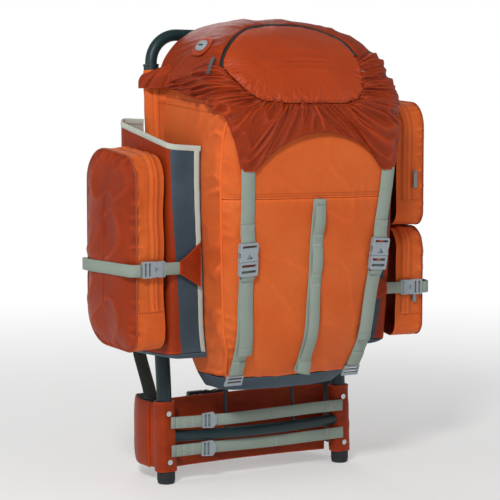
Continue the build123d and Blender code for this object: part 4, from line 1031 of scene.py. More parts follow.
def roundedLoop(corners, count):
    # A closed outline with an arc at each corner
    spots = [np.array(c[:2], float) for c in corners]
    path = []
    for k, (corner, radius) in enumerate(zip(spots, [c[2] for c in corners])):
        inward, onward = unit(spots[k - 1] - corner), unit(spots[(k + 1) % len(spots)] - corner)
        half = math.acos(float(np.clip(inward @ onward, -1, 1))) / 2
        centre = corner + unit(inward + onward) * radius / math.sin(half)
        reach = radius / math.tan(half)
        a, b = corner + inward * reach - centre, corner + onward * reach - centre
        first, last = math.atan2(a[1], a[0]), math.atan2(b[1], b[0])
        sweep = (last - first + math.pi) % (2 * math.pi) - math.pi
        angles = first + sweep * np.linspace(0, 1, 12)
        path += list(centre + radius * np.stack([np.cos(angles), np.sin(angles)], axis=1))
    return resample(np.array(path + path[:1]), count + 1)[:-1]


for order, (name, (s, corners)) in enumerate(pockets.items()):
    loop = roundedLoop(corners, gusset["columns"])
    count, seamRow, seed = len(loop), gusset["rings"] - 1, 101 + order * 7
    lows, highs = loop[:, 1].min(), loop[:, 1].max()
    spine = np.clip(loop[:, 1], lows + 72, max(lows + 73, highs - 72))
    target = np.stack([np.full(count, 75.0), spine], axis=1)
    reach = np.linalg.norm(target - loop, axis=1)
    depths = np.linspace(0.6, gusset["depth"], gusset["rings"])
    rings = [pocketPoint(s, loop[:, 0], loop[:, 1], depth) for depth in depths]
    for t in np.linspace(0.04, 0.97, gusset["faceRings"]):
        ring = loop + (target - loop) * t
        crown = gusset["depth"] + gusset["crown"] * (1 - (1 - growing(reach * t, 36)) ** 2.2)
        rings.append(pocketPoint(s, ring[:, 0], ring[:, 1], crown))
    grid = np.array(rings)
    run = np.tile(distanceAlong(loop), (len(grid), 1))
    away = np.abs(alongColumns(grid) - alongColumns(grid)[seamRow : seamRow + 1])
    held = np.zeros(grid.shape[:2])
    held[0] = held[seamRow] = 1
    recipe = {"pressure": 2.6, "ease": 0.09, "cap": 5.0, "bending": 0.15, "frames": 20}
    swell = settled(grid, held, recipe, True, s < 0, loose=fading(away, 16) * (held == 0)) - grid
    # where the rings crowd together in the middle of the face, the swelling is evened out
    calm = (np.clip((away - 12) / 24, 0, 1) * (np.arange(len(grid)) > seamRow)[:, None])[..., None]
    even = np.mean([np.roll(swell, k, axis=1) for k in range(-14, 15)], axis=0)
    grid = grid + swell * (1 - calm) + even * calm
    y, z = grid[:, :, 1], grid[:, :, 2]
    bump = 2.2 * creases(run / 15, away / 40, seed) * fading(away, 15) * (away > 1)
    bump += 3.0 * creases(z / 62 + y / 80, y / 60 - z / 150, seed + 1) * growing(away, 14)
    bump += 1.4 * waviness(z / 60, y / 50, seed + 2) * growing(away, 20)
    # the flap over the zip runs down the front gusset and over the top, as a raised band with two folds
    depth = np.r_[depths, np.full(gusset["faceRings"], 99)][:, None] * np.ones((1, count))
    fromFlap = depth - gusset["flap"]
    flapFoot = lows + 0.2 * (highs - lows)
    overTop = (loop[:, 1] > flapFoot) & (loop[:, 0] < 120)
    band = fading(fromFlap, 7.5, 4) * overTop[None, :]
    bump += 2.4 * band - 1.4 * fading(fromFlap, 1.6) * overTop[None, :]
    bump += 0.7 * np.abs(waviness(run / 12, depth / 9, seed + 4)) * band
    # the compression strap presses a groove round the pocket
    press = fading(z - pocketStraps["left" if s < 0 else "right"], 14, 4)
    grid = moved(grid, bump * (1 - press) - 1.2 * press, s)
    stands, shape = [f"{name}_gusset"], {"loop": True, "flip": s < 0}
    wall = f"{name}_gusset_cloth"
    wall = clothPiece(wall, grid[: gusset["rings"]], orangeCloth, "orange_cloth", stands, **shape)
    facePoints = grid[seamRow:]
    faces = gridFaces(*facePoints.shape[:2], **shape)
    lowest = int(np.argmin(facePoints[-1, :, 2]))
    faces += stripCap((len(facePoints) - 1) * count, count, start=lowest, flip=s < 0)
    flat = facePoints[:, :, 1], facePoints[:, :, 2]
    face = meshPiece(f"{name}_face_cloth", facePoints, faces, [rustCloth], flat)
    place(thicken(face, 1.2), "pack", [f"{name}_face"])
    rim = resample(np.vstack([grid[seamRow], grid[seamRow][:1]]), 260) + np.array([s * 0.6, 0, 0])
    cordPiece(f"{name}_face_welt", rim, 1.5, orangeThread, "pack")
    normals = gridNormals(grid) * s
    everywhere, lines, facing = np.ones(count, bool), [], []
    for row, keep in ((seamRow - 1, everywhere), (4, overTop), (11, overTop), (seamRow + 1, everywhere)):
        first = 0 if keep.all() else int(np.argmin(keep))
        kept = np.roll(np.arange(count), -first)
        kept = kept[keep[kept]]
        lines.append(grid[row][kept] + normals[row][kept] * 0.5)
        facing.append(normals[row][kept])
    frontEdge = int(np.argmin(np.abs(loop[:, 1] - flapFoot) + 1000 * (loop[:, 0] > 60)))
    lines.append(grid[1:seamRow, frontEdge] + normals[1:seamRow, frontEdge] * 0.6)
    facing.append(normals[1:seamRow, frontEdge])
    stitchPiece(f"{name}_stitching", lines, facing, orangeThread)
print("pockets made")


def layOnBag(path):
    # Evens out how far a strap stands off the bag, and finds the way each of its points faces
    padded = np.r_[np.full(2, path[0, 1]), path[:, 1], np.full(2, path[-1, 1])]
    path[:, 1] = np.convolve(padded, np.ones(5) / 5, "valid")
    outward = unit(np.cross(np.gradient(path, axis=0), (1, 0, 0)))
    return path, outward * -np.sign(outward[:, 1:2])


# Front straps: a lower run with a ladder lock and a loose tail, an upper run that hangs from the lid
frontStrap = {"low": (194, 114), "high": (531, 133), "width": 25, "thick": 1.7}  # heights and distances


def strapAt(heights, s, lift, aside=0.0):
    # Points up a front strap, lifted off the bag
    (low, near), (high, far) = frontStrap["low"], frontStrap["high"]
    x = near + (heights - low) * (far - near) / (high - low) + aside
    inner = np.stack([s * x, np.full_like(x, -400), heights], axis=1) - (s * frontStrap["width"] / 2, 0, 0)
    return layOnBag(np.stack([s * x, castOn(bagTree, inner, (0, 1, 0))[:, 1] - lift, heights], axis=1))


def frontRibbon(name, s, heights, lift, thick=1.6, **fixing):
    path, outward = strapAt(heights, s, lift)
    ribbonPiece(name, path, outward, frontStrap["width"], thick, sageWebbing, **fixing)
    return path, outward


for side, s in sides.items():
    frontRibbon(f"front_strap_webbing_{side}", s, np.linspace(200, 376, 45), 2.0, frontStrap["thick"],
                replaces=[f"front_strap_{side}"])
    # the end that turns under, through the ladder lock at the foot
    frontRibbon(f"front_strap_fold_{side}", s, np.linspace(197, 222, 10), np.linspace(5.2, 3.9, 10))
    # loose tail: out of the male buckle's ladder and down over the strap
    heights = np.linspace(232 if s < 0 else 244, 362, 40)
    swing = np.interp(heights, (230, 300, 362), (7.0, 4.6, 4.2))
    swing += 0.7 * waviness(heights / 30, heights * 0, 121)
    path, outward = strapAt(heights, s, swing, aside=np.interp(heights, (230, 362), (-4.0, 0)))
    bend = f"front_male_{side}", path[-12], path[-1]
    ribbonPiece(f"front_strap_tail_{side}", path, outward, 25, 1.5, sageWebbing, bend=bend)
    hem = f"front_strap_tail_hem_{side}"
    ribbonPiece(hem, path[:5], outward[:5], 25.4, 3.4, sageWebbing, spacing=2)
    # webbing through the male buckle's slots
    weave = np.array([4.2, 6.4, 9.8, 11.6, 9.0, 6.4, 5.4, 4.0, 2.0])
    path, outward = strapAt(np.linspace(356, 376, 9), s, weave)
    male = f"front_male_{side}"
    ribbonPiece(f"front_male_webbing_{side}", path, outward, 24, 1.5, sageWebbing, male, spacing=2)
    # the upper run: sewn under the lid's tip, looped round the female buckle's bar
    hang, heights = f"lid_strap_hang_{side}", np.linspace(416, 536, 34)
    lift = np.interp(heights, (416, 430, 536), (6.4, 2.6, 2.2))
    frontRibbon(f"lid_strap_webbing_{side}", s, heights, lift, frontStrap["thick"], body=hang,
                replaces=[f"lid_strap_{side}"])
    heights = np.linspace(417, 448, 12)
    lift = np.interp(heights, (417, 425, 448), (9.4, 6.0, 4.0))
    path, outward = frontRibbon(f"lid_strap_fold_{side}", s, heights, lift, body=hang)
    barTack(f"lid_strap_tack_{side}", path[7:11], outward[7:11], 25, hang)
print("front straps made")

chain = {
    "tacks": [474, 427, 410, 362, 346, 205], "lift": 5.5, "foot": 190, "top": 486, "backing": 25, "loop": 20,
}


def chainAt(heights, lift):
    spots = castOn(bagTree, [(0, -400, z) for z in heights], (0, 1, 0))
    spots[:, 1] -= lift
    return layOnBag(spots)


path, outward = chainAt(np.linspace(chain["foot"], chain["top"], 70), 1.9)
stands = {"replaces": ["daisy_chain"]}
ribbonPiece("daisy_chain_backing", path, outward, chain["backing"], 1.6, sageWebbing, **stands)
heights = np.linspace(chain["tacks"][-1], chain["tacks"][0], 150)
lift = np.full(len(heights), 3.4)
for upper, lower in zip(chain["tacks"], chain["tacks"][1:]):
    share = np.clip((heights - lower) / (upper - lower), 0, 1)
    if upper - lower > 20:  # a pair of tacks closer than that has no loop between them
        lift += chain["lift"] * np.sin(np.pi * share) ** 0.6 * (share > 0) * (share < 1)
path, outward = chainAt(heights, lift)
ribbonPiece("daisy_chain_loops", path, outward, chain["loop"], 1.6, sageWebbing, spacing=2.2)
for k, z in enumerate(chain["tacks"] + [chain["foot"] + 4, chain["top"] - 4]):
    path, outward = chainAt(np.linspace(z - 4, z + 4, 5), 3.6)
    barTack(f"daisy_chain_tack_{k}", path, outward, 19)
print("daisy chain made")


def pocketLane(s, spots, z):
    spots = np.asarray(spots, float)
    return pocketPoint(s, spots[:, 0], np.full(len(spots), float(z)), spots[:, 1])


def laneFacing(path, s):
    # Away from the middle of the pocket
    out = unit(np.cross(np.gradient(path, axis=0), (0, 0, 1.0)))
    away = path - np.array([s * 246, -40, 0])
    return out * np.sign(np.sum(out[:, :2] * away[:, :2], axis=1, keepdims=True))


# Compression straps round the pockets, as distance behind the front edge and off the base plane
wing = {"from": 20, "spread": 56, "rows": 14, "columns": 15}
for side, s in sides.items():
    z = pocketStraps[side]
    corners = [(156, 20), (156, 62), (122, 71), (30, 71), (-4, 66), (-8.4, 50)]
    path = pocketLane(s, roundedPath(corners, (10, 24, 24, 12), 8), z)
    path[:, 2] += 1.2 * np.sin(np.linspace(0, 5, len(path)))
    bend = f"pocket_male_{side}", *pocketLane(s, [(10, 69), (-8.4, 52)], z)
    fixing = {"replaces": ["pocket_straps"], "bend": bend}
    ribbonPiece(f"pocket_strap_webbing_{side}", path, laneFacing(path, s), 20, 1.6, sageWebbing, **fixing)
    # the short end from the female buckle to the wing patch on the sleeve
    inward = pocketLane(s, roundedPath([(-9.5, 16), (-9.8, 2), (-8.8, -34)], (8,), 6), z)
    ribbonPiece(f"pocket_anchor_webbing_{side}", inward, laneFacing(inward, s), 20, 1.6, sageWebbing)
    # three-cornered wing of rust cloth, from the webbing to the seam beside the bag
    tip = pocketLane(s, [(-10.2, -22)], z)[0]
    root = sleeveRun(z)[2]
    root = np.array([s * (root[0] + 0.5), root[1] - 4.5, z + 4])
    across = np.linspace(-0.5, 0.5, wing["columns"])
    rows = []
    for t in np.linspace(0, 1, wing["rows"]):
        x, y, height = tip * (1 - t) + root * t
        y = y - 1.6 * np.cos(across * math.pi) * math.sin(math.pi * t) - 0.4
        width = wing["from"] + wing["spread"] * t**1.1
        rows.append(np.stack([np.full_like(across, x), y, height + across * width], axis=1))
    grid = np.array(rows)
    crease = 0.7 * waviness(alongColumns(grid) / 26 + 3, alongRows(grid) / 7, 131 + s)
    grid, shape = moved(grid, crease, -s), {"flip": s < 0, "thickness": 2.2, "offset": 0}
    clothPiece(f"pocket_wing_{side}", grid, rustCloth, "rust_cloth", **shape)
zipCord = [(156, 400, 39), (158, 390, 41), (160, 378, 42), (158, 364, 43)]  # rearward, height, outward
zipCord = resample(pocketPoint(-1, *np.array(zipCord, float).T), 20)
pull = cordPiece("pocket_zip_cord", zipCord, 1.5, darkWebbing, "left_zip")
route = [[float(c) for c in p] for p in zipCord * mm]

# Belt: sheaths round the tubes, lumbar band and tension straps
sheath = {"foot": 21, "head": 140, "wide": (38, 36), "deep": 30, "corner": 13, "hem": (22.4, 139.0)}


def roundedRing(wide, deep, corner, count):
    a, b = wide / 2, deep / 2
    return roundedLoop([(-a, -b, corner), (a, -b, corner), (a, b, corner), (-a, b, corner)], count)


for side, s in sides.items():
    rows = []
    for z in np.linspace(sheath["foot"], sheath["head"], 34):
        wide = np.interp(z, (sheath["foot"], sheath["head"]), sheath["wide"])
        ring = roundedRing(wide, sheath["deep"], sheath["corner"], 72)
        rows.append(liftRow(ring + (s * tubeHalf, tubeY(z)), z))
    grid = np.array(rows)
    u, v = alongRows(grid), alongColumns(grid)
    bump = 0.9 * waviness(u / 22, v / 12, 141 + s) + 0.5 * waviness(u / 9, v / 30, 143)
    bump += puckers(v, u, 0.6, 8, 7, 144) + puckers(v[-1:] - v, u, 0.6, 8, 7, 145)
    grid = moved(grid, np.clip(bump, -0.4, 1.5))
    clothPiece(f"belt_sheath_cloth_{side}", grid, rustCloth, "rust_cloth", ["belt_sheaths"], loop=True)
    normal = gridNormals(grid)
    facing = [np.vstack([normal[r], normal[r][:1]]) for r in (3, -4)]
    lines = [np.vstack([grid[r], grid[r][:1]]) + away * 0.4 for r, away in zip((3, -4), facing)]
    seamColumn = 3 if s > 0 else 32
    facing.append(normal[2:-2, seamColumn])
    lines.append(grid[2:-2, seamColumn] + facing[-1] * 0.4)
    stitchPiece(f"belt_sheath_stitching_{side}", lines, facing, orangeThread)
    for k, z in enumerate(sheath["hem"]):
        t = (z - sheath["foot"]) / (sheath["head"] - sheath["foot"])
        ring = roundedRing(35.5 - 2 * t, 27.5, 12, 60)
        rings = np.array([liftRow(ring * f + (s * tubeHalf, tubeY(z)), z) for f in (1.0, 0.86, 0.8)])
        shape = {"loop": True, "flip": k == 0, "thickness": 1.0, "offset": 0, "smooth": False}
        clothPiece(f"belt_sheath_hem_{side}_{k}", rings, rustCloth, "rust_cloth", **shape)

band = {
    "half": 155, "thick": 8, "columns": 110, "rows": 40,
    "foot": (3, 12), "rise": 6,  # Y of the foot at its ends and middle, and how far the head leans back
    "seams": (-152, -62, 58, 152),
}
count, rows = band["columns"] * 2, []
x = np.linspace(-band["half"], band["half"], band["columns"])
for z in np.linspace(sheath["foot"], sheath["head"], band["rows"]):
    t = (z - sheath["foot"]) / (sheath["head"] - sheath["foot"])
    ends, middle = [y + band["rise"] * t for y in band["foot"]]
    y, deep = middle - (middle - ends) * (x / band["half"]) ** 2, band["thick"] / 2 - 0.8
    row = np.vstack([np.stack([x, y - deep], axis=1), np.stack([x, y + deep], axis=1)[::-1]])
    rows.append(liftRow(row, z))
grid = np.array(rows)
seams = [int(round((band["columns"] - 1) * (at + band["half"]) / (2 * band["half"]))) for at in band["seams"]]
bothSides = seams + [count - 1 - c for c in seams]
held = np.zeros(grid.shape[:2])
held[:, bothSides] = 1
held[0] = held[-1] = 1
reach = np.min([np.abs(np.arange(count)[None, :] - c) for c in bothSides], axis=0) * 2.8
recipe = {"pressure": 2.0, "ease": 0.06, "cap": 3.2, "bending": 0.2, "frames": 18}
grid = settled(grid, held, recipe, loop=True, loose=fading(reach, 14) * (held == 0))
u, v = alongRows(grid), alongColumns(grid)
bump = 0.8 * waviness(u / 40, v / 30, 151)
bump = bump + puckers(v, u, 0.8, 12, 9, 152) + puckers(v[-1:] - v, u, 0.8, 12, 9, 153)
grid = moved(grid, np.clip(bump, -1, 1.4) * (1 - held * 0.5))
faces = gridFaces(band["rows"], count, loop=True)
for row, up in ((0, False), (band["rows"] - 1, True)):
    for c in range(band["columns"] - 1):
        quad = tuple(row * count + k for k in (c, c + 1, count - 2 - c, count - 1 - c))
        faces.append(quad if up else quad[::-1])
pad = soften(meshPiece("lumbar_band", grid, faces, [rustCloth], (u, v)))
place(pad, "pack", ["lumbar_pad"])
lines = [grid[2:-2, c] for c in seams[1:3]] + [grid[r, 2 : band["columns"] - 2] for r in (3, 36)]
lines = [line + (0, -0.5, 0) for line in lines]
stitchPiece("lumbar_band_stitching", lines, (0, -1, 0), orangeThread)

tension = {  # height, bow behind the tubes, wave up and down, place of the last tack
    "upper": (105, 9, 1.3, 20), "lower": (56, 0, -0.9, 32),
}
for k, (name, (z, bow, wave, last)) in enumerate(tension.items()):
    x = np.linspace(-172, 172, 90)
    y = tubeY(z) - 17.4 - bow * np.interp(np.abs(x), (0, 67, 165), (1, 1, 0)) - 0.5 * np.cos(x / 30)
    path = np.stack([x, y, z + wave * np.sin(x / 60 + k)], axis=1)
    stands = {"replaces": ["tension_straps"]}
    ribbonPiece(f"tension_strap_{name}", path, (0, -1, 0), 20, 1.7, sageWebbing, **stands)
    # the doubled end that passes back through the lock
    double = path[(x > -168) & (x < -98)] + (0, -2.0, 0)
    ribbonPiece(f"tension_fold_{k}", double, (0, -1, 0), 19.6, 1.6, sageWebbing)
    for j, spot in enumerate((-150, -132, 138, 156, last)):
        c = int(np.argmin(np.abs(x - spot)))
        block = path[c - 1 : c + 2] + (0, -2.0 if spot < -100 else -0.2, 0)
        barTack(f"tension_tack_{k}_{j}", block, (0, -1.0, 0), 19, rows=4 if j < 4 else 2)
print("belt made")


def padGrid(path, across, out, halves, thick, count):
    # Rings of a flat pad round a path: flattened ovals, wide along the way across
    turn = np.linspace(0, 2 * math.pi, count, endpoint=False)
    wide, deep = [np.sign(c) * np.abs(c) ** (2 / 2.6) for c in (np.cos(turn), np.sin(turn))]
    across, out = [np.broadcast_to(way, path.shape)[:, None] for way in (across, out)]
    halves, thick = halves[:, None, None], np.asarray(thick)[:, None, None] / 2
    return path[:, None] + halves * wide[:, None] * across + thick * deep[:, None] * out


def padPiece(name, grid, cloths, swell, seed, body, replaces, flip=False):
    # A filled pad from rings of points: held along its two edges and swollen, with a cloth on each side
    rows, count = grid.shape[:2]
    held = np.zeros((rows, count))
    held[:, 0] = held[:, count // 2] = 1
    held[0] = held[-1] = 1
    fromEdge = np.minimum(np.arange(count) % (count // 2), (count // 2) - np.arange(count) % (count // 2))
    recipe = {"pressure": 2.2, "ease": 0.07, "cap": swell, "bending": 0.3, "frames": 18}
    grid = settled(grid, held, recipe, True, flip, loose=fading(fromEdge, 3.0) * (held == 0))
    u, v = alongRows(grid), alongColumns(grid)
    bump = puckers(fromEdge[None, :] * (u[:, -1:] / count), v, 0.6, 10, 8, seed)
    bump += 0.5 * waviness(u / 30, v / 40, seed + 1)
    grid = moved(grid, np.clip(bump, -0.8, 1.0), -1 if flip else 1)
    faces = gridFaces(rows, count, loop=True, flip=flip)
    faces += stripCap(0, count, flip=not flip) + stripCap((rows - 1) * count, count, flip=flip)
    piece = meshPiece(name, grid, faces, cloths, (u, v))
    for face in piece.data.polygons:
        if len(face.vertices) == 4 and face.index < (rows - 1) * count:
            face.material_index = int(face.index % count >= count // 2)
    place(soften(piece), body, replaces)


# Hip wings: they narrow to the buckle, and hinge on a strip of cloth behind the sheaths
wingRoute = [(189, 14), (190, 55), (165, 108), (122, 140), (78, 150)]  # plan, root to tip
for side, s in sides.items():
    plan = splineThrough(wingRoute, 70)
    top = np.interp(plan[:, 0], (78, 175), (118, 136))
    foot = np.interp(plan[:, 0], (74, 160, 190), (62, 23, 23))
    length = distanceAlong(plan)
    fromTip = length[-1] - length
    ease = np.sqrt(np.clip(1 - ((18 - np.minimum(fromTip, 18)) / 18) ** 2, 0.04, 1))
    half = (top - foot) / 2 * (0.55 + 0.45 * ease)
    path = np.stack([s * plan[:, 0], plan[:, 1], (top + foot) / 2], axis=1)
    out = np.cross(unit(np.gradient(path, axis=0)), (0, 0, 1.0)) * s
    thick = np.where(fromTip < 8, 6.5 + fromTip / 2, 10.4) * np.interp(length, (0, 8), (0.6, 1))
    grid = padGrid(path, (0, 0, 1.0), out, half, thick, 48)
    padPiece(f"hip_wing_pad_{side}", grid, [rustCloth, spacerMesh], 1.6, 161, f"wing_{side}",
             [f"hip_wing_{side}"], flip=s < 0)
    # cloth hinge from the sheath's back to the wing's root
    root = np.linspace((s * 180, -6, 79.5), (s * 189, 24, 79.5), 14)
    root[:, 0] += s * 1.5 * np.sin(np.linspace(0, math.pi, 14))
    bend = f"wing_{side}", (s * 184, 1, 79), (s * 189, 18, 79)
    ribbonPiece(f"hip_wing_hinge_{side}", root, (s, 0, 0), 111, 3.0, rustCloth, slot="rust_cloth", bend=bend)
    line = splineThrough([(122, 147.2), (78, 158.6), (50, 162.4)], 24)
    path = liftRow(line * (s, 1), 92.0)
    facing = unit(np.cross(np.gradient(path, axis=0), (0, 0, 1.0)) * s)
    ribbonPiece(f"wing_webbing_{side}", path, facing, 38, 1.8, darkWebbing, f"wing_{side}")
    barTack(f"wing_tack_{side}", path[1:4], facing[1:4], 36, f"wing_{side}")
beltTips = {
    "belt_male": ("belt_male", [(-24, 167, 92), (-34, 166, 92), (-50, 162.4, 92)]),
    "belt_female": ("wing_right", [(30, 167, 92), (40, 165, 92), (50, 162.4, 92)]),
}
for name, (body, tip) in beltTips.items():
    ribbonPiece(f"{name}_webbing", resample(tip, 10), (0, 1, 0), 38, 1.8, darkWebbing, body)
print("hip wings made")

# Harness: a yoke, two shoulder straps and their webbing
yoke = {"foot": (0, 22.0, 480), "head": (0, 28.0, 600), "rows": 60, "thick": 7.6}
foot = np.array(yoke["foot"])
up = unit(np.array(yoke["head"]) - foot)
away = np.cross(up, (1, 0, 0))
heights = np.linspace(1, 117, yoke["rows"])
halves = np.interp(heights, (0, 20, 60, 118), (42, 58, 88, 95))
halves *= np.sqrt(np.clip(1 - np.clip((8 - heights) / 12, 0, 1) ** 2, 0.1, 1))
thick = yoke["thick"] * np.clip(np.minimum(heights, 118 - heights) / 6, 0.45, 1) ** 0.5
grid = padGrid(foot + up * heights[:, None] + away * 4, (1.0, 0, 0), away, halves, thick, 56)
cloths = [spacerMesh, slateCloth]
padPiece("shoulder_yoke_pad", grid, cloths, 1.4, 171, "pack", ["shoulder_yoke"], flip=True)

shoulder = {
    "route": [(40, -20), (44, 20), (66, 50), (104, 52), (138, 8), (158, -90), (160, -200), (150, -300)],
    "from": (78, 0, 600), "slant": 0.2, "rows": 120, "half": 28.6, "thick": 11.4,
}
for side, s in sides.items():
    plan = splineThrough(shoulder["route"], shoulder["rows"])
    slant = np.array([1, 0, s * shoulder["slant"]]) / math.hypot(1, shoulder["slant"])
    rise = np.cross(slant, (0, 1, 0))
    path = np.array(shoulder["from"]) * (s, 1, 1) + plan[:, :1] * (0, 1, 0) + plan[:, 1:] * rise
    out = np.cross(unit(np.gradient(path, axis=0)), slant)
    length = distanceAlong(path)
    ends = np.minimum(length, length[-1] - length)
    half = shoulder["half"] * np.interp(ends, (0, 10, 24), (0.66, 0.9, 1))
    thick = shoulder["thick"] * np.interp(ends, (0, 12), (0.5, 1))
    grid, cloths = padGrid(path, slant, out, half, thick, 44), [slateCloth, spacerMesh]
    stands = ["shoulder_straps"]
    padPiece(f"shoulder_pad_{side}", grid, cloths, 1.8, 181, "pack", stands)

lifter = {
    "x": 138, "bar": tubeY(692) - 10 * (1 - (138 / 175) ** 2), "z": 695, "radius": 13.6,
    "lowerRun": [
        (136, 151, 322), (142, 151, 296), (150, 148, 276), (166, 108, 216), (179, 36, 152), (184, 21, 139),
    ],
}
for side, s in sides.items():
    middle = np.array([s * lifter["x"], lifter["bar"], lifter["z"]])
    turn = np.r_[np.linspace(0, 2 * math.pi, 48, endpoint=False), 0]
    y, z = lifter["radius"] * np.cos(turn), lifter["radius"] * np.sin(turn)
    out = np.stack([turn * 0, y, 4.5 * np.sign(np.sin(turn)) + z], axis=1)
    fixing = {"replaces": ["harness_webbing"], "spacing": 2.5}
    ribbonPiece(f"lifter_loop_{side}", middle + out, unit(out), 20, 1.7, sageWebbing, **fixing)
    start, end = np.array([s * lifter["x"], lifter["bar"] + 15.2, 690]), np.array([s * 84, 84, 671.0])
    share = np.linspace(0, 1, 20)[:, None]
    path = start + (end - start) * share - np.array([0, 0, 3]) * np.sin(share * math.pi)
    facing = unit(np.cross(end - start, np.cross((0, 0, 1.0), end - start)))
    ribbonPiece(f"load_lifter_{side}", path, facing, 20, 1.6, darkWebbing)
    route = roundedPath(np.array(lifter["lowerRun"]) * (s, 1, 1), (8, 10, 30, 10))
    facing = unit(np.cross(np.gradient(route, axis=0), (1.0, 0, 0)))[len(route) // 2]
    ribbonPiece(f"lower_run_{side}", resample(route, 60), facing, 25, 1.6, darkWebbing)
for side, ends in (("left", (-122, -20)), ("right", (28, 122))):
    x = np.linspace(*ends, 30)
    path = np.stack([x, 170 + 0.6 * np.cos(x / 20), np.full(30, 505.0)], axis=1)
    ribbonPiece(f"sternum_webbing_{side}", path, (0, 1, 0), 20, 1.6, darkWebbing)
print("harness made")

# Behind and inside the lid: a drop of cloth down to the hoop, and the pocket's floor
drop = {"rows": 34, "columns": 70, "foot": (-6, 673), "head": (9, 770)}
rows = []
for t in np.linspace(0, 1, drop["rows"]):
    y, z = np.array(drop["foot"]) + np.subtract(drop["head"], drop["foot"]) * t
    half = throughRows(lid["sections"], z)[0] - 6 - 10 * (1 - t)
    xs = np.linspace(-half, half, drop["columns"])
    rows.append(liftRow(np.stack([xs, np.full(drop["columns"], y)], axis=1), z))
grid = np.array(rows)
u, v = alongRows(grid), alongColumns(grid)
bump = 1.2 * waviness(u / 34, v / 40, 191) + puckers(v, u, 0.8, 14, 9, 192)
grid, thin = moved(grid, np.clip(bump, -1, 1)), {"thickness": 1.0, "offset": 0}
piece = clothPiece("lid_back_drop_cloth", grid, rustCloth, "rust_cloth", ["lid_back_drop"], **thin)
half = lidHalf(690) * (0.975, 0.985)
outline = resample(bothHalves(half[half[:, 1] <= -5]), 90)
rows = []
for t in np.linspace(0, 0.96, 20):
    rows.append(liftRow(outline * (1 - t) + np.array([0, -5]) * t, 693 - 1.0 * t))
grid, stands = np.array(rows), ["lid_pocket_floor"]
piece = clothPiece("lid_floor_cloth", grid, liningCloth, "slate_cloth", stands, "lid", smooth=False, **thin)

# Rust corner flaps lead from the lid's rear corners round the tubes' heads
for side, s in sides.items():
    rows = []
    for t in np.linspace(0, 1, 30):
        x = np.interp(t, (0, 0.45, 0.8, 1), (168, 182, 194, 198))
        y = np.interp(t, (0, 0.45, 0.8, 1), (-42, -6, 20, 34))
        foot, head = np.interp(t, (0, 0.5, 1), (670, 665, 666)), np.interp(t, (0, 0.5, 1), (708, 700, 690))
        z = np.linspace(foot, head, 18)
        roof = np.clip((z - (head - 16)) / 16, 0, 1) ** 2
        rows.append(np.stack([s * (x - roof * 14), y + roof * 3, z], axis=1))
    grid = np.array(rows)
    u, v = alongRows(grid), alongColumns(grid)
    bump = 4.0 * creases(u / 34 + v / 26, v / 60 + u / 90, 195 + s) * growing(v, 6)
    shape = {"flip": s > 0, "offset": 0}
    clothPiece(f"lid_corner_flap_{side}", moved(grid, bump, s), rustCloth, "rust_cloth", **shape)
print("lid details made")

# Camera, soft lights and a pale floor
viewpoint = {
    "target": (-58.5, -100, 397), "azimuth": -30.0, "elevation": 4.5, "distance": 2666, "lens": 115.2,
}
azimuth, elevation = math.radians(viewpoint["azimuth"]), math.radians(viewpoint["elevation"])
level = math.cos(elevation)
back = Vector((math.sin(azimuth) * level, -math.cos(azimuth) * level, math.sin(elevation)))
cameraData = bpy.data.cameras.new("camera")
cameraData.lens = viewpoint["lens"]
cameraData.sensor_width = 36
camera = bpy.data.objects.new("camera", cameraData)
camera.location = (Vector(viewpoint["target"]) + back * viewpoint["distance"]) * mm
camera.rotation_euler = back.to_track_quat("Z", "Y").to_euler()
bpy.context.scene.collection.objects.link(camera)
bpy.context.scene.camera = camera


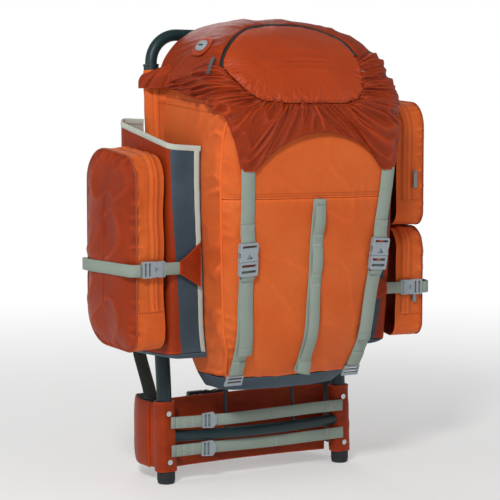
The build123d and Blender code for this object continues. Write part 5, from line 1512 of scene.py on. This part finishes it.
def softLight(name, spot, aim, size, power):
    lamp = bpy.data.lights.new(name, "AREA")
    lamp.shape = "DISK"
    lamp.size = size
    lamp.energy = power
    holder = bpy.data.objects.new(name, lamp)
    holder.location = spot
    holder.rotation_euler = (Vector(spot) - Vector(aim)).to_track_quat("Z", "Y").to_euler()
    bpy.context.scene.collection.objects.link(holder)


softLight("key", (-1.7, -1.9, 2.1), (0, -0.1, 0.4), 0.6, 54)
softLight("fill", (2.2, -1.6, 0.9), (0, -0.1, 0.4), 1.6, 5)
softLight("rim", (0.6, 1.8, 1.7), (0, 0, 0.5), 1.0, 7)
softLight("left_rim", (-2.2, 0.5, 1.0), (0, 0, 0.4), 1.0, 6)

world = bpy.data.worlds.new("studio")  # white to the eye, dimmer as a light
bpy.context.scene.world = world
world.use_nodes = True
world.node_tree.nodes.clear()
ray = addNode(world.node_tree, "LightPath")["Is Camera Ray"]
strength = addNode(world.node_tree, "MapRange", {"To Min": 0.27, "Value": ray})[0]
sky = addNode(world.node_tree, "Background", {"Color": (1, 1, 1, 1), "Strength": strength})[0]
addNode(world.node_tree, "OutputWorld", {"Surface": sky})
bpy.context.scene.view_settings.view_transform = "Standard"

# The floor turns into a lit white sweep away from the object
floorPaint, tree = newMaterial("pale painted floor")
reach = addNode(tree, "VectorMath", {"operation": "LENGTH", 0: addNode(tree, "TexCoord")["Object"]})["Value"]
sweep = {"interpolation_type": "SMOOTHSTEP", "From Min": 0.2, "From Max": 3.0, "To Min": 0.34, "Value": reach}
sweep = addNode(tree, "MapRange", sweep)[0]
speckle = addNode(tree, "TexNoise", {"Scale": 3.0})["Fac"]
paint = {"data_type": "RGBA", 0: speckle, 6: colour("#f4f4f3"), 7: colour("#f7f7f6")}
paint = {"data_type": "RGBA", 0: sweep, 6: addNode(tree, "Mix", paint)[2], 7: colour("#000000")}
surface = {
    "Roughness": 0.9, "Specular IOR Level": 0.1, "Base Color": addNode(tree, "Mix", paint)[2],
    "Emission Color": (1, 1, 1, 1), "Emission Strength": sweep,
}
addNode(tree, "OutputMaterial", {"Surface": addNode(tree, "BsdfPrincipled", surface)[0]})
corners = [(-9000, -9000, 0), (9000, -9000, 0), (9000, 9000, 0), (-9000, 9000, 0)]
meshPiece("floor", corners, [(0, 1, 2, 3)], [floorPaint])
